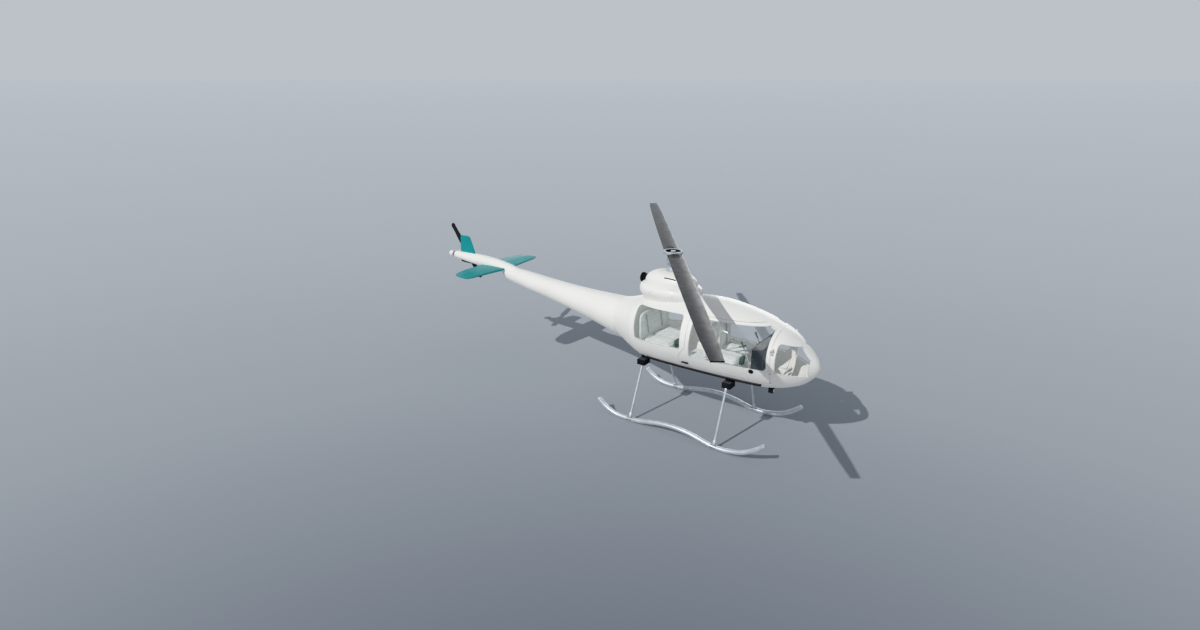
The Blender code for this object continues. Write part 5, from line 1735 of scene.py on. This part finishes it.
def aim(thing, direction):
    """Turn a lamp so that it shines from a direction."""
    thing.rotation_euler = Vector(direction).to_track_quat("Z", "Y").to_euler()
    bpy.context.scene.collection.objects.link(thing)


def floor():
    """A floor with painted shade: mid grey in front, darkest under the camera's place, and paling
    into the backdrop with distance.
    """
    bm = bmesh.new()
    bmesh.ops.create_circle(bm, cap_ends=True, segments=96, radius=FLOOR_RADIUS)
    ground = new_object("floor", bm)
    made = bpy.data.materials.new("floor")
    made.use_nodes = True
    nodes, links = made.node_tree.nodes, made.node_tree.links
    shader = nodes["Principled BSDF"]
    away = add(nodes, "VectorMath")
    away.operation = "DISTANCE"
    links.new(add(nodes, "TexCoord").outputs["Object"], away.inputs[0])
    away.inputs[1].default_value = FLOOR_SHADE_MIDDLE
    longer = add(nodes, "Math")
    longer.inputs[1].default_value = FLOOR_FADE
    links.new(away.outputs["Value"], longer.inputs[0])
    share = add(nodes, "Math")
    share.operation = "DIVIDE"
    links.new(away.outputs["Value"], share.inputs[0])
    links.new(longer.outputs["Value"], share.inputs[1])
    ramp = add(nodes, "ValToRGB")
    while len(ramp.color_ramp.elements) < len(FLOOR_SHADES):
        ramp.color_ramp.elements.new(1.0)
    for element, (position, *colour) in zip(ramp.color_ramp.elements, FLOOR_SHADES):
        element.position = position
        element.color = (*colour, 1.0)
    links.new(share.outputs["Value"], ramp.inputs["Fac"])
    links.new(ramp.outputs["Color"], shader.inputs["Base Color"])
    emboss(nodes, links, noise(nodes, links, 30.0), Strength=0.05)
    shader.inputs["Roughness"].default_value = 1.0
    shader.inputs["Specular IOR Level"].default_value = 0.0
    ground.data.materials.append(made)


def stage():
    floor()
    data = bpy.data.cameras.new("camera")
    data.lens = CAMERA_LENS
    data.sensor_width = CAMERA_SENSOR
    data.clip_end = 2 * FLOOR_RADIUS
    camera = bpy.data.objects.new("camera", data)
    camera.location = CAMERA_PLACE
    camera.rotation_euler = Vector(CAMERA_LOOK).to_track_quat("-Z", "Y").to_euler()
    bpy.context.scene.collection.objects.link(camera)
    bpy.context.scene.camera = camera

    for name, direction, energy, softness, shadows, colour in SUNS:
        data = bpy.data.lights.new(name, "SUN")
        data.energy = energy
        data.use_shadow = shadows
        data.angle = math.radians(softness)
        data.color = colour
        aim(bpy.data.objects.new(name, data), direction)

    data = bpy.data.lights.new("gloss_card", "AREA")
    data.shape = "RECTANGLE"
    data.size, data.size_y = GLOSS_CARD_SIZE
    data.energy = GLOSS_CARD_POWER
    card = bpy.data.objects.new("gloss_card", data)
    card.location = Vector(GLOSS_CARD_FROM) * GLOSS_CARD_DISTANCE
    aim(card, GLOSS_CARD_FROM)
    card.visible_diffuse = False
    card.visible_camera = False

    world = bpy.data.worlds.new("studio")
    world.use_nodes = True
    background = world.node_tree.nodes["Background"]
    background.inputs["Color"].default_value = WORLD_COLOUR
    bpy.context.scene.world = world
    bpy.context.scene.view_settings.view_transform = "Khronos PBR Neutral"


POD_SKIN, POD_PLACES, POD_NORMALS, POD_FACES = skin_of(
    pod_mesh(POD_ROWS[0][0], POD_ROWS[-1][0]))
pod_panels()
panes()
door_seals()
hinges()
tail()
tail_surfaces()
cowl()
exhaust()
main_rotor()
tail_rotor()
landing_gear()
body_details()
window_beads()
console()
controls()
pouches()
for kept_finish, kept_bevel, *kept_nodes in KEPT:
    for kept_node in kept_nodes:
        dress(kept_node, kept_finish, kept_bevel)
belts(seats())
stage()
